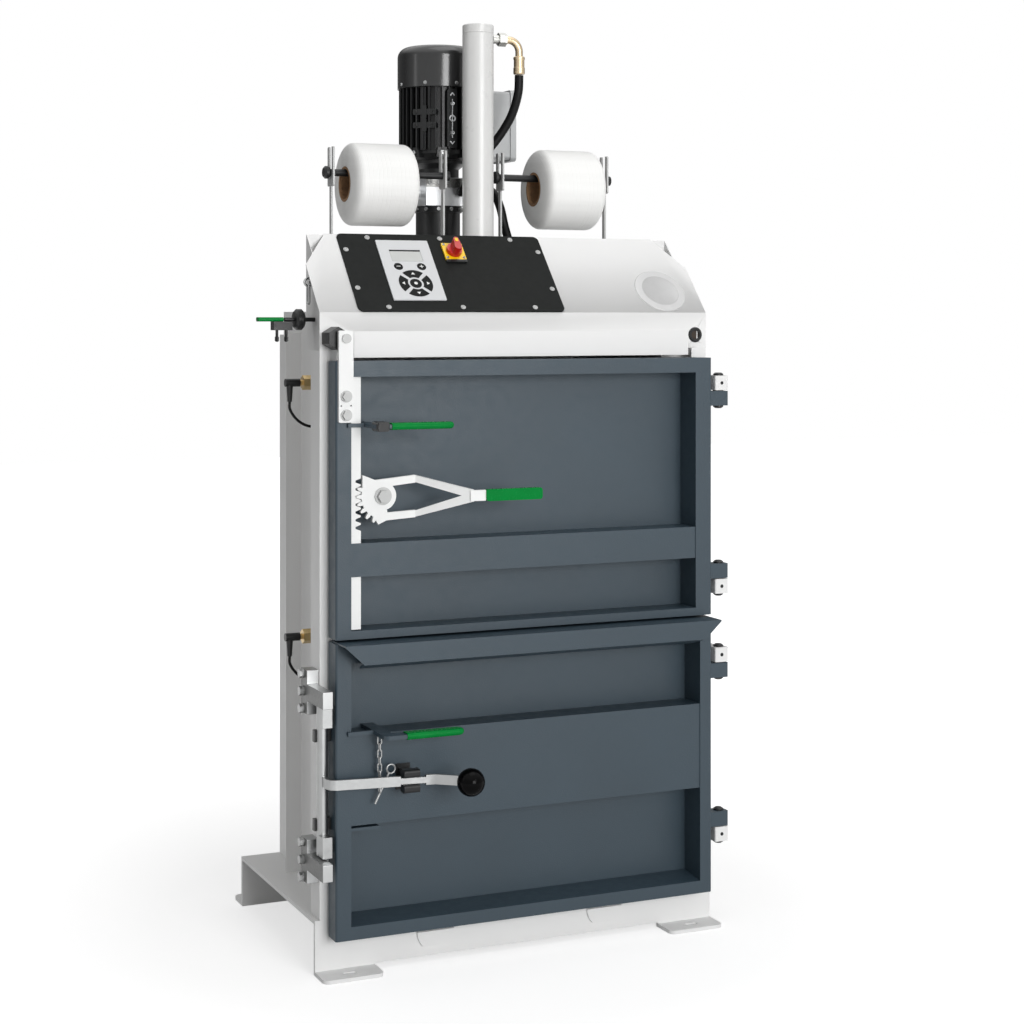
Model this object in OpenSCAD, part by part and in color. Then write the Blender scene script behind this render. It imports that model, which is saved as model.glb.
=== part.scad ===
// Vertical recycling baler: floor base, press chamber, two hinged doors, hydraulic ram and twine spools.
// Millimetres, +Z up, the doors face -Y. The origin is on the floor, midway between the four anchor slots.

/* [Base] */
// Width of the folded base sheet
base_w = 922; // [900:2:980]
// Depth of the base from front skirt to rear skirt
base_d = 530; // [500:2:600]
// Height of the chamber floor above the ground
base_h = 112; // [95:1:140]
// Thickness of the base sheet
base_t = 8; // [5:1:10]
// Gap under the skirts between the feet
skirt_gap = 10; // [8:1:25]
// Width of a foot flange
foot_w = 130; // [110:1:160]
// Length of a foot flange beyond its skirt
foot_l = 62; // [56:1:80]
// Width of an anchor slot
slot_w = 14; // [9:1:16]
// Length of an anchor slot
slot_l = 30; // [24:1:40]
// Distance of the anchor slots from the outer ends of the base
slot_in = 65; // [55:1:75]
// Distance of the anchor slots from the skirts
slot_out = 32; // [26:1:36]

/* [Chamber] */
// Outer width across the front columns
frame_w = 902; // [890:2:920]
// Thickness of the chamber sheets
sheet_t = 4; // [3:1:6]
// Depth of a front column
col_d = 58; // [50:1:80]
// Width of a front column's front flange
col_flange = 36; // [24:1:36]
// Distance of a chamber wall inside the column's outer face
wall_in = 78; // [60:1:90]
// Depth from the front plane to the back of the rear wall
chamber_d = 520; // [480:2:528]
// Height of the chamber walls above the lower edge of the hood
wall_over = 43; // [40:1:60]
// Width of a rear post beside the chamber wall
post_w = 35; // [30:1:60]
// Depth of a rear post
post_d = 68; // [50:1:80]
// Distance of the rear posts behind the front plane
post_back = 362; // [300:1:400]
// Height of a rear post's cap above the chamber walls
post_over = 6; // [4:1:20]

/* [Doors] */
// Distance of the door's edges inside the columns' outer faces
door_in = 16; // [10:1:20]
// Thickness of a door's outer frame
door_t = 50; // [40:1:60]
// Gap between a closed door and the columns
door_gap = 5; // [3:1:8]
// Depth of the recesses in a door's front
recess_d = 70; // [62:1:80]
// Thickness of a door's back panel
panel_t = 3; // [2:0.5:5]
// Clearance of a door's inner box in the frame opening
box_gap = 6; // [4:1:10]
// Radius of the folded upright edges of a door
door_r = 5; // [2:1:8]
// Drop of the lower door below the chamber floor
door_drop = 31; // [25:1:40]
// Height of the lower door
lower_h = 601; // [560:2:640]
// Height of the upper door
upper_h = 564; // [530:2:600]
// Gap between the two doors
split_gap = 8; // [7:1:20]
// Width of a door's left stile
stile_l = 33; // [30:1:40]
// Width of the upper door's right stile
upper_stile_r = 40; // [36:1:50]
// Width of the lower door's right stile
lower_stile_r = 29; // [29:1:40]
// Height of the upper door's top rail
top_rail = 32; // [28:1:50]
// Height of the upper door's bottom rail
upper_sill_rail = 17; // [12:1:24]
// Height of the upper door's middle rail
mid_rail = 68; // [50:1:76]
// Height of the middle rail's lower edge above the upper door's lower edge
mid_rail_up = 126; // [115:1:130]
// Height of the lower door's bottom rail
foot_rail = 27; // [24:1:34]
// Height of the lower door's middle panel
mid_panel = 184; // [170:1:200]
// Height of the middle panel's lower edge above the lower door's lower edge
mid_panel_up = 231; // [215:1:240]
// Height of the lower door's top rail
lower_top_rail = 40; // [36:1:60]
// Set-back of the middle rails behind the stiles
rail_back = 2; // [1:0.5:4]
// Reach of the sill in front of the lower door
sill_out = 50; // [40:1:60]
// Height of the sill's front flange
sill_h = 40; // [30:1:44]
// Thickness of the sill sheet
sill_t = 3; // [2:0.5:4]

/* [Hinges] */
// Distance of the hinge axis outside the column
hinge_out = 13; // [10:1:20]
// Depth of the hinge axis behind the door's front
hinge_back = 22; // [18:1:26]
// Width of a square hinge block
hinge_b = 33; // [28:1:36]
// Height of a hinge block
hinge_h = 32; // [26:1:40]
// Diameter of a hinge pin
hinge_pin_d = 14; // [10:1:18]
// Gap between the two blocks of a hinge
hinge_gap = 2; // [1.5:0.1:3]

/* [Hood] */
// Gap between the upper door and the hood
hood_gap = 6; // [4:1:10]
// Height of the hood's upright front
hood_front_h = 93; // [85:1:110]
// Depth covered by the hood's sloping front
slope_d = 150; // [130:1:170]
// Rise of the hood's sloping front
slope_h = 167; // [150:1:180]
// Thickness of the hood sheet
hood_t = 2; // [1.5:0.5:3]
// Width of the cut corners of the slope
corner_w = 60; // [40:1:80]
// Length of the cut corners along the slope
corner_l = 90; // [60:1:110]
// Inset of the hood's side cheeks
cheek_in = 21; // [16:1:40]
// Thickness of the raised strip above the upper door
strip_t = 12; // [8:1:14]
// Height of the raised strip
strip_h = 54; // [40:1:60]
// Height of the hood sheet's lower edge above the strip's
hood_lift = 15; // [10:1:25]
// Width of the control plate
plate_w = 471; // [420:2:500]
// Thickness of the control plate
plate_t = 3; // [2:0.5:4]
// Width of the keypad
keypad_w = 119; // [100:1:130]
// Height of the keypad
keypad_h = 173; // [150:1:180]
// Thickness of the keypad
keypad_t = 3; // [2:0.5:5]
// Side of the main switch's square plate
switch_w = 48; // [40:1:56]
// Diameter of the main switch's hub
switch_hub_d = 34; // [26:1:38]

/* [Press] */
// Outer diameter of the cylinder barrel
barrel_d = 70; // [66:1:90]
// Bore of the cylinder barrel
bore_d = 60; // [50:1:62]
// Diameter of the piston rod
rod_d = 40; // [30:1:45]
// Length of the cylinder barrel
barrel_l = 680; // [660:2:720]
// Stroke of the ram
stroke = 560; // [400:10:560]
// Depth of the cylinder axis behind the front plane
barrel_back = 234; // [220:1:240]
// Height of the bridge that carries the cylinder
bridge_h = 52; // [46:1:70]
// Thickness of the bridge plate
bridge_t = 12; // [8:1:16]
// Gap between the press plate and the chamber walls
press_gap = 7; // [4:1:12]
// Thickness of the press plate
press_t = 8; // [6:1:12]
// Height of the press plate's ribs
press_rib = 28; // [20:1:30]

/* [Power pack] */
// Diameter of the motor over its fins
motor_d = 184; // [170:2:190]
// Number of cooling fins
fin_n = 36; // [24:4:48]
// Length of the finned body
fin_l = 142; // [120:1:160]
// Height of the fan cowl
cowl_h = 96; // [80:1:110]
// Offset of the motor axis to the left of the cylinder
motor_left = 34; // [20:1:50]
// Distance of the motor axis behind the cylinder axis
motor_back = 156; // [150:1:165]
// Width of the oil tank
tank_w = 260; // [220:2:280]
// Depth of the oil tank
tank_d = 190; // [180:2:196]
// Height of the oil tank
tank_h = 150; // [120:1:160]

/* [Twine] */
// Diameter of a full twine spool
spool_d = 188; // [150:1:190]
// Length of a twine spool
spool_l = 138; // [120:1:150]
// Outer diameter of a spool's card core
core_d = 78; // [70:1:90]
// Bore of a spool's card core
core_bore = 66; // [60:1:69]
// Diameter of a spool rod
spool_rod_d = 16; // [12:1:20]
// Distance between the two posts of a spool
post_span = 264; // [250:1:280]
// Distance of the inner posts from the middle plane
post_mid = 70; // [60:1:80]
// Shift of a spool towards the outer post
spool_shift = 26; // [10:1:30]

/* [Upper door lock] */
// Module of the rack and the toothed lever
tooth_m = 5; // [4:0.5:5]
// Number of teeth on the lever's full pitch circle
tooth_n = 21; // [19:1:21]
// Play between the teeth
tooth_play = 1.4; // [1:0.1:2]
// Thickness of the lever plate and of the lock bar
lock_t = 8; // [6:1:10]
// Width of the lock bar
bar_w = 22; // [18:1:26]
// Height of the lever pivot above the upper door's lower edge
pivot_up = 288; // [270:1:300]
// Swing of the toothed lever in degrees
lever_swing = 40; // [20:1:40]
// Reach of the lever's flat part from its pivot
lever_flat = 71; // [66:1:76]
// Length in plan of the lever's bent arms
lever_rise = 100; // [80:1:120]
// Bend of the lever's arms towards the operator in degrees
lever_bend = 35; // [35:1:40]
// Length of the lever's grip
grip_l = 127; // [100:1:150]

/* [Lower door lock] */
// Diameter of the lock rod
lock_rod_d = 23; // [18:1:26]
// Distance of the lock rod's axis from the door's left edge
lock_rod_out = 19; // [16:1:22]
// Depth of the lock rod's axis behind the door's front
lock_rod_back = 30; // [24:1:32]
// Height of the upper keeper above the lower door's lower edge
keeper_hi = 497; // [470:1:520]
// Height of the lower keeper above the lower door's lower edge
keeper_lo = 152; // [130:1:180]
// Height of a keeper arm
keeper_h = 34; // [28:1:40]
// Height of the rod handle above the lower door's lower edge
rod_handle_up = 323; // [310:1:335]
// Diameter of the ball knob
ball_d = 57; // [45:1:60]

/* [Hidden] */
$fn = 48;
eps = 0.01;

// Half-round tongues for the twine on the front skirt
tongue_x = 197;
tongue_z = 62;
tongue_w = 84;
tongue_h = 30;
tongue_t = 5;

// Clearances: parts at rest on their seat, sliding parts, and pins in their bores
seat_gap = 0.3;
slide_gap = 0.4;
pin_gap = 0.05;

// Planes of the frame and the closed doors
front_y = -base_d / 2;
door_y = front_y - door_gap - door_t;
door_half = frame_w / 2 - door_in;
box_half = frame_w / 2 - col_flange - box_gap;
wall_x = frame_w / 2 - wall_in;
wall_y = front_y + col_d;
rear_y = front_y + chamber_d;

// Levels from the floor upwards
lower_z0 = base_h - door_drop;
lower_z1 = lower_z0 + lower_h;
upper_z0 = lower_z1 + split_gap;
upper_z1 = upper_z0 + upper_h;
hood_z0 = upper_z1 + hood_gap;
sheet_z0 = hood_z0 + hood_lift;
bend_z = hood_z0 + hood_front_h;
wall_z1 = hood_z0 + wall_over;
bridge_z1 = wall_z1 + bridge_h;

// Ends of the raised strip and the cable hole in the hood's front
strip_l = 70;
strip_r = 51;
plug_d = 28;

// Sloping front of the hood
slope_l = sqrt(slope_d * slope_d + slope_h * slope_h);
slope_a = atan2(slope_h, slope_d);
plate_x = -frame_w / 2 + 85;
keypad_x = plate_x + 83;
keypad_v = 30;
switch_x = keypad_x + keypad_w + 30;
switch_v = keypad_v + 118;

// Cylinder and press plate
barrel_y = front_y + barrel_back;
barrel_z0 = bridge_z1 - 38;
barrel_z1 = barrel_z0 + barrel_l;
gland_h = 30;
cap_h = 20;
flange_d = barrel_d + 34;
flange_h = 14;
press_z0 = wall_z1 - 40;
press_hub_h = 20;
piston_h = 30;
piston_z1 = barrel_z1 - cap_h - 8;

// Power pack levels
motor_x = -motor_left;
motor_y = barrel_y + motor_back;
tank_z1 = bridge_z1 + tank_h;
block_w = 96;
neck_h = 92;
block_z0 = tank_z1 + neck_h;
block_h = 65;
bell_h = 40;
bell_z0 = block_z0 + block_h;
motor_flange_h = 22;
fin_d = 16;
fin_short = 2;
fin_z0 = bell_z0 + bell_h + motor_flange_h;
cowl_z0 = fin_z0 + fin_l;
box_w = 100;
box_h = 157;
box_z0 = fin_z0 - 16;

// Twine spools
spool_y = front_y + 270;
spool_z = bridge_z1 + 280;
spool_rod_z = spool_z + core_bore / 2 - spool_rod_d / 2 - seat_gap;
fork_w = 38;
fork_h = 86;
fork_t = 4;

// Rack lock on the upper door
pitch_r = tooth_m * tooth_n / 2;
lock_y = door_y + 5;
bar_x = -door_half + stile_l + seat_gap;
pivot_x = bar_x + bar_w - tooth_m + pitch_r;
pivot_z = upper_z0 + pivot_up;
pivot_d = 20;
grip_h = 23;
grip_t = 14;
lever_out = lever_rise * tan(lever_bend);
lock_bar_z0 = upper_z0 + upper_sill_rail + 2;
lock_bar_z1 = upper_z1 - 8;

// Stop bar and stop at the top of the upper door
stop_w = 31;
stop_t = 8;
stop_x = -door_half + 4;
stop_z0 = upper_z1 - 124;
stop_z1 = upper_z1 + 62;
stop_af = 41;
stop_gap = 8;

// Lock rod on the lower door
lock_rod_x = -door_half - lock_rod_out;
lock_rod_y = door_y + lock_rod_back;
keeper_z = [lower_z0 + keeper_lo, lower_z0 + keeper_hi];
keeper_t = 21;
keeper_x0 = -frame_w / 2 - 25;
keeper_front = door_y - 40;
keeper_plate_d = 40;
keeper_in = 14;
keeper_pitch = 36;
keeper_edge = 9;
keeper_hole = 10.4;
keeper_plate_h = 2 * (keeper_pitch + keeper_edge);
cam_h = 42;
cam_w = 20;
cam_r = 34;
rod_handle_z = lower_z0 + rod_handle_up;
bearing_dz = 90;

// Lynch pin on its chain
pin_l = 46;
pin_lean = 27;

// Ledge tab below the lower door's middle panel
tab_w = 61;

// Pull handles, lower and upper: left edge of the leg, lower face of the plate, start of the grip
handle_w = 26;
handle_t = 8;
handle_out = 62;
handle_leg = handle_w;
handle_gusset = 8;
handle_x = [-door_half + 78, -door_half + stile_l + bar_w + 3];
handle_z = [lower_z0 + mid_panel_up + mid_panel, upper_z0 + 430];
handle_grip_x = [-door_half + 126, -door_half + 93];
handle_grip_l = [127, 138];

// Hinges: height of the gap between the blocks, and the side on which the door's block lies
upper_hinges = [[upper_z1 - 73, -1], [upper_z0 + 76.5, 1]];
lower_hinges = [[lower_z1 - 100.5, -1], [lower_z0 + 139, 1]];
hinge_x = frame_w / 2 + hinge_out;
hinge_y = door_y + hinge_back;

// Sensors on the left chamber wall
sensor_d = 18;
sensor_y = front_y + 175;
sensor_z = [lower_z1 - 17, upper_z1 - 50];
plug_out = 86;
plug_drop = 40;

// Twine tool and snap hook on the hood's left cheek
cheek_x = -frame_w / 2 + cheek_in;
tool_y = front_y + 95;
tool_z = bend_z - 15;

// Hose and cable routes, with their diameters
pressure_hose_d = 20;
pressure_hose_path = [[101, -31, 1890], [100, -28, 1850], [92, -14, 1805], [76, 0, 1768], [57, 11, 1738],
    [36, 22, 1710], [18, 35, 1680], [7, 48, 1652], [2, 62, 1630], [2, 77, 1630]];
return_hose_d = 20;
return_hose_path = [[14, 105, 1640], [32, 105, 1640], [54, 90, 1640], [74, 58, 1630], [84, 38, 1596],
    [94, 34, 1550], [101, 18, 1502], [98, 5, 1460], [84, -14, 1428], [64, -27, 1412], [48, -31, 1410],
    [35, -31, 1410]];
cable_d = 6;
cable_path = [[-459, -90, 0], [-459, -90, -14], [-452, -90, -28], [-440, -90, -41], [-425, -90, -50],
    [-409, -90, -54], [-391, -90, -56], [-373, -90, -56]];

// Shared shapes

// Box between two corners
module box(x0, x1, y0, y1, z0, z1) translate([x0, y0, z0]) cube([x1 - x0, y1 - y0, z1 - z0]);

// Extrudes a (Y, Z) outline from x0 to x1
module along_x(x0, x1) translate([x0, 0, 0]) rotate([90, 0, 90]) linear_extrude(x1 - x0) children();

// Extrudes an (X, Z) outline from y0 to y1
module along_y(y0, y1) translate([0, y1, 0]) rotate([90, 0, 0]) linear_extrude(y1 - y0) children();

// Rectangle with round corners, centred
module round_rect(w, h, r) {
    square([w - 2 * r, h], center = true);
    square([w, h - 2 * r], center = true);
    for (x = [-1, 1], y = [-1, 1]) translate([x * (w / 2 - r), y * (h / 2 - r)]) circle(r);
}

// Rectangle with round ends along X, centred
module stadium(l, w) {
    square([l - w, w], center = true);
    for (x = [-1, 1]) translate([x * (l - w) / 2, 0]) circle(d = w);
}

// Cylinder along X from x0 to x1
module rod_x(x0, x1, d) translate([x0, 0, 0]) rotate([0, 90, 0]) cylinder(h = x1 - x0, d = d);

// Cylinder along Y from y0 to y1
module rod_y(y0, y1, d) translate([0, y1, 0]) rotate([90, 0, 0]) cylinder(h = y1 - y0, d = d);

// Hexagonal prism along Z, given the width across its flats
module hex_z(h, af) cylinder(h = h, d = af / cos(30), $fn = 6);

// Places children on the sloping front: x across, y up the slope, z outwards
module on_slope() translate([0, front_y, bend_z]) rotate([slope_a, 0, 0]) children();

// Tube swept along a route: each ring lies across the direction of its neighbours
function unit(v) = v / norm(v);
function heading(p, i) = unit(p[min(i + 1, len(p) - 1)] - p[max(i - 1, 0)]);
function side_of(t) = unit(cross(t, abs(t[1]) > 0.8 ? [1, 0, 0] : [0, 1, 0]));
function ring(c, t, r, n) = let (u = side_of(t), v = cross(t, u))
    [for (k = [0:n - 1]) c + r * (cos(360 * k / n) * u + sin(360 * k / n) * v)];
module swept_tube(path, d, n) {
    m = len(path);
    points = [for (i = [0:m - 1]) each ring(path[i], heading(path, i), d / 2, n)];
    walls = [for (i = [0:m - 2], k = [0:n - 1]) let (j = (k + 1) % n)
        each [[i * n + k, i * n + j, (i + 1) * n + j], [i * n + k, (i + 1) * n + j, (i + 1) * n + k]]];
    caps = [[for (k = [n - 1:-1:0]) k], [for (k = [0:n - 1]) (m - 1) * n + k]];
    polyhedron(points = points, faces = concat(walls, caps), convexity = 6);
}

// Base, chamber and bridge

// Foot flange bent out of the front skirt, with its anchor slot
module foot() {
    r = foot_l / 4;
    x0 = base_w / 2 - foot_w;
    x1 = base_w / 2;
    y0 = front_y - foot_l;
    difference() {
        union() {
            linear_extrude(base_t) {
                translate([x0, y0 + r]) square([foot_w, foot_l - r + base_t]);
                translate([x0 + r, y0]) square([foot_w - 2 * r, r + eps]);
                for (x = [x0 + r, x1 - r]) translate([x, y0 + r]) circle(r);
            }
            box(x0, x1, front_y, front_y + base_t, base_t - eps, skirt_gap + eps);
        }
        translate([base_w / 2 - slot_in, front_y - slot_out, -1]) linear_extrude(base_t + 2)
            stadium(slot_l, slot_w);
    }
}

module base_frame() color("gainsboro") {
    box(-base_w / 2, base_w / 2, front_y, -front_y, base_h - base_t, base_h);
    for (b = [0, 1]) mirror([0, b, 0]) {
        box(-base_w / 2, base_w / 2, front_y, front_y + base_t, skirt_gap, base_h);
        for (a = [0, 1]) mirror([a, 0, 0]) foot();
    }
    for (x = [-1, 1]) along_y(front_y - tongue_t, front_y + eps) translate([x * tongue_x, tongue_z]) intersection() {
        circle(tongue_w / 2);
        translate([-tongue_w / 2, -tongue_h]) square([tongue_w, tongue_h]);
    }
}

// Left column and chamber wall, folded from one sheet
module side_sheet() {
    x = frame_w / 2;
    translate([0, 0, base_h]) linear_extrude(sheet_z0 - base_h) {
        translate([-x, front_y]) square([col_flange, sheet_t]);
        translate([-x, front_y]) square([sheet_t, col_d]);
        translate([-x, wall_y - sheet_t]) square([wall_in + sheet_t, sheet_t]);
    }
    box(-wall_x, -wall_x + sheet_t, wall_y - sheet_t, rear_y - sheet_t, base_h, wall_z1);
}

module left_side() color("lightgray") difference() {
    side_sheet();
    for (z = sensor_z) translate([0, sensor_y, z]) rod_x(-wall_x - 1, -wall_x + sheet_t + 1, sensor_d + 0.4);
}

module right_side() color("lightgray") mirror([1, 0, 0]) side_sheet();

// Rear wall with three upright stiffeners on its outer side
module rear_wall() color("lightgray") {
    rib_w = 60;
    rib_d = 22;
    box(-wall_x, wall_x, rear_y - sheet_t, rear_y, base_h, wall_z1);
    for (x = [-wall_x * 0.6, 0, wall_x * 0.6]) translate([x, rear_y, base_h + 60])
        linear_extrude(wall_z1 - base_h - 120) {
            for (s = [-1, 1]) translate([s * (rib_w - sheet_t) / 2 - sheet_t / 2, -eps])
                square([sheet_t, rib_d]);
            translate([-rib_w / 2, rib_d - sheet_t]) square([rib_w, sheet_t]);
        }
}

module rear_post() {
    y0 = front_y + post_back;
    z1 = wall_z1 + post_over;
    translate([wall_x, y0, base_h]) difference() {
        cube([post_w, post_d, z1 - base_h]);
        translate([sheet_t, sheet_t, -1])
            cube([post_w - 2 * sheet_t, post_d - 2 * sheet_t, z1 - base_h - sheet_t + 1]);
    }
}

module left_rear_post() color("silver") mirror([1, 0, 0]) rear_post();
module right_rear_post() color("silver") rear_post();

// Folded bridge on top of the chamber walls, drilled for the cylinder
module bridge() color("silver") {
    y0 = wall_y + 17;
    y1 = rear_y - 30;
    web = 8;
    difference() {
        box(-wall_x, wall_x, y0, y1, bridge_z1 - bridge_t, bridge_z1);
        translate([0, barrel_y, wall_z1]) cylinder(h = bridge_h + 1, d = barrel_d + 2 * seat_gap);
    }
    for (y = [y0, y1 - web]) box(-wall_x, wall_x, y, y + web, wall_z1, bridge_z1 - bridge_t + eps);
    for (a = [0, 1]) mirror([a, 0, 0]) {
        box(wall_x - web, wall_x, y0, y1, wall_z1, bridge_z1 - bridge_t + eps);
        box(barrel_d, barrel_d + web, y0, y1, wall_z1 + 8, bridge_z1 - bridge_t + eps);
    }
}

// Hood and controls

module slope_outline() {
    x = frame_w / 2;
    polygon([[-x, 0], [x, 0], [x, slope_l - corner_l], [x - corner_w, slope_l],
        [-x + corner_w, slope_l], [-x, slope_l - corner_l]]);
}

module hood() color("whitesmoke") {
    x = frame_w / 2;
    back_y = front_y + slope_d;
    difference() {
        box(-x, x, front_y, front_y + hood_t, sheet_z0, bend_z);
        translate([x - 27, front_y, sheet_z0 + 29]) rod_y(-1, hood_t + 1, plug_d);
    }
    on_slope() translate([0, 0, -hood_t]) linear_extrude(hood_t) slope_outline();
    box(-x + cheek_in, x - cheek_in, back_y, back_y + hood_t, bridge_z1, bend_z + slope_h - hood_t);
    for (a = [0, 1]) mirror([a, 0, 0]) along_x(x - cheek_in - hood_t, x - cheek_in)
        polygon([[front_y + eps, sheet_z0], [front_y + eps, bend_z - hood_t],
            [back_y, bend_z + slope_h - hood_t], [back_y + hood_t, bend_z + slope_h - hood_t],
            [back_y + hood_t, sheet_z0]]);
    box(-x + strip_l, x - strip_r, front_y - strip_t, front_y + eps, hood_z0, hood_z0 + strip_h);
}

module control_plate() color("#2b2d2e") on_slope() linear_extrude(plate_t)
    translate([plate_x + plate_w / 2, slope_l / 2]) round_rect(plate_w, slope_l - 2, 12);

// Keypad with a sunk display window
module keypad() color("#d9dadb") on_slope() translate([keypad_x, keypad_v, plate_t]) difference() {
    linear_extrude(keypad_t) translate([keypad_w / 2, keypad_h / 2]) round_rect(keypad_w, keypad_h, 2);
    translate([keypad_w * 0.2, keypad_h * 0.64, keypad_t - 1]) cube([keypad_w * 0.6, keypad_h * 0.2, 2]);
}

module switch_plate() color("gold") on_slope() translate([switch_x + switch_w / 2, switch_v + switch_w / 2, 0])
    difference() {
        translate([0, 0, plate_t]) linear_extrude(4) round_rect(switch_w, switch_w, 2);
        translate([0, 0, plate_t + 3]) cylinder(h = 2, d = switch_hub_d + 2);
    }

// Rotary knob: a round hub with a wedge-shaped bar across it
module switch_knob() color("crimson") on_slope()
    translate([switch_x + switch_w / 2, switch_v + switch_w / 2, plate_t + 3 + seat_gap]) {
        cylinder(h = 9, d = switch_hub_d);
        translate([0, 0, 8]) linear_extrude(20) union() {
            translate([0, switch_hub_d * 0.32]) circle(6);
            translate([0, -switch_hub_d * 0.32]) circle(8);
            polygon([[-6, switch_hub_d * 0.32], [6, switch_hub_d * 0.32],
                [8, -switch_hub_d * 0.32], [-8, -switch_hub_d * 0.32]]);
        }
    }

// Press cylinder, ram and hydraulics

module barrel() color("gainsboro") translate([0, barrel_y, 0]) difference() {
    union() {
        translate([0, 0, barrel_z0]) cylinder(h = barrel_l - cap_h, d = barrel_d);
        translate([0, 0, barrel_z1 - cap_h - eps]) rotate_extrude() polygon([[0, 0], [barrel_d / 2 - 1.5, 0],
            [barrel_d / 2, 2], [barrel_d / 2, cap_h - 2 + eps], [barrel_d / 2 - 2, cap_h + eps], [0, cap_h + eps]]);
        translate([0, 0, bridge_z1]) cylinder(h = flange_h, d = flange_d);
    }
    translate([0, 0, barrel_z0 + gland_h]) cylinder(h = barrel_l - gland_h - cap_h, d = bore_d);
    translate([0, 0, barrel_z0 - 1]) cylinder(h = gland_h + 2, d = rod_d + 2 * pin_gap);
}

// Screwed adapter, union nut, bent steel pipe and crimped ferrule on the cylinder head
module hose_fitting() color("#b9a98a") translate([0, barrel_y, barrel_z1 - 29]) {
    pipe_d = 17;
    bend_r = 26;
    reach = pressure_hose_path[0][0] - bend_r;
    rod_x(barrel_d / 2, barrel_d / 2 + 17, 20);
    translate([barrel_d / 2 + 14, 0, 0]) rotate([0, 90, 0]) hex_z(18, 27);
    rod_x(barrel_d / 2 + 30, reach + eps, pipe_d);
    translate([reach, 0, -bend_r]) rotate([90, 0, 0]) rotate_extrude(angle = 90) translate([bend_r, 0])
        circle(d = pipe_d);
    translate([reach + bend_r, 0, -bend_r - 12]) cylinder(h = 12 + eps, d = pipe_d);
    translate([reach + bend_r, 0, -bend_r - 50]) rotate_extrude() polygon([[0, 0], [12, 0], [13, 2], [13, 14],
        [12, 16], [12, 32], [13, 34], [13, 38], [11, 40], [0, 40]]);
}

module pressure_hose() color("#1c1c1c") swept_tube(pressure_hose_path, pressure_hose_d, 12);
module return_hose() color("#1c1c1c") swept_tube(return_hose_path, return_hose_d, 12);

// Piston and piston rod, turned from one bar
module ram() color("silver") translate([0, barrel_y, 0]) {
    z0 = press_z0 + press_t + press_hub_h;
    translate([0, 0, z0]) cylinder(h = piston_z1 - z0, d = rod_d);
    translate([0, 0, piston_z1 - piston_h]) cylinder(h = piston_h, d = bore_d - 2 * pin_gap);
}

module press_plate() color("#8f9496") {
    x = wall_x - sheet_t - press_gap;
    y0 = door_y + recess_d + panel_t + press_gap + 4;
    y1 = rear_y - sheet_t - press_gap;
    z = press_z0 + press_t;
    box(-x, x, y0, y1, press_z0, z);
    for (a = [0, 1]) mirror([a, 0, 0]) for (k = [0.42, 0.94])
        box(x * k - 4, x * k + 4, y0 + 6, y1 - 6, z - eps, z + press_rib);
    for (y = [y0 + 6, y1 - 14]) box(-x * 0.94, x * 0.94, y, y + 8, z - eps, z + press_rib);
    box(-x * 0.42, x * 0.42, barrel_y - 4, barrel_y + 4, z - eps, z + press_hub_h - 2);
    translate([0, barrel_y, z - eps]) cylinder(h = press_hub_h + eps, d = rod_d + 50);
}

// Tank with a rounded plan, standing on the bridge, and its round neck
module oil_tank() color("#33373a") translate([motor_x, motor_y, bridge_z1]) {
    linear_extrude(tank_h) round_rect(tank_w, tank_d, 18);
    translate([0, 0, tank_h - eps]) cylinder(h = neck_h - 14 + eps, d = block_w + 6);
    translate([0, 0, tank_h + neck_h - 14]) cylinder(h = 14, d = block_w + 14);
}

// Aluminium manifold with a valve body on its left side
module valve_block() color("#c3c6c8") translate([motor_x, motor_y, block_z0]) {
    translate([-block_w / 2, -block_w / 2, 0]) cube([block_w, block_w, block_h]);
    translate([0, 0, block_h / 2]) rod_x(-block_w / 2 - 34, -block_w / 2 + eps, 30);
    translate([-block_w / 2 - 34, 0, block_h / 2]) rotate([0, 90, 0]) hex_z(12, 36);
}

// Bell housing between manifold and motor, widening upwards to the motor flange
module bell_housing() color("#1f2122") translate([motor_x, motor_y, bell_z0])
    rotate_extrude() polygon([[0, 0], [48, 0], [48, bell_h * 0.5], [62, bell_h * 0.8], [62, bell_h], [0, bell_h]]);

// Finned motor body: flange, core, a ring of radial fins and four tie-rod lugs
module motor_body() color("#2a2d2f") translate([motor_x, motor_y, fin_z0 - motor_flange_h]) {
    core_r = motor_d / 2 - fin_d;
    z = motor_flange_h;
    rotate_extrude() polygon([[0, 0], [66, 0], [core_r, z * 0.6], [core_r, z + fin_l], [0, z + fin_l]]);
    for (k = [0:fin_n - 1]) rotate(360 * (k + 0.5) / fin_n) translate([core_r - 2, -1.5, z])
        cube([fin_d - fin_short + 2, 3, fin_l - 1]);
    for (k = [0:3]) rotate(45 + 90 * k) translate([core_r - 2, -6.5, z - 2]) cube([12, 13, fin_l]);
}

// Fan cowl: a round-shouldered cap with radial air slots in its top
module fan_cowl() color("#2f3234") translate([motor_x, motor_y, cowl_z0]) {
    r = motor_d / 2 + 1;
    shoulder = 24;
    difference() {
        rotate_extrude($fn = 72) {
            square([r, cowl_h - shoulder]);
            square([r - shoulder, cowl_h]);
            translate([r - shoulder, cowl_h - shoulder]) intersection() {
                circle(shoulder);
                square(shoulder);
            }
        }
        for (k = [0:11]) rotate(30 * k) translate([22, -3, cowl_h - 6]) cube([r - shoulder - 26, 6, 8]);
    }
}

// Terminal box on the motor's right side, with a screwed lid
module terminal_box() color("#a9adaf") translate([motor_x + motor_d / 2, motor_y, box_z0]) {
    depth = 68;
    lid = 14;
    translate([seat_gap - fin_short, -box_w / 2, 22]) cube([6, box_w, box_h - 40]);
    along_x(3, depth) translate([0, box_h / 2]) round_rect(box_w, box_h, 8);
    along_x(depth - eps, depth + lid) translate([0, box_h / 2]) round_rect(box_w + 8, box_h + 8, 10);
}

// Twine spools

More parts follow.
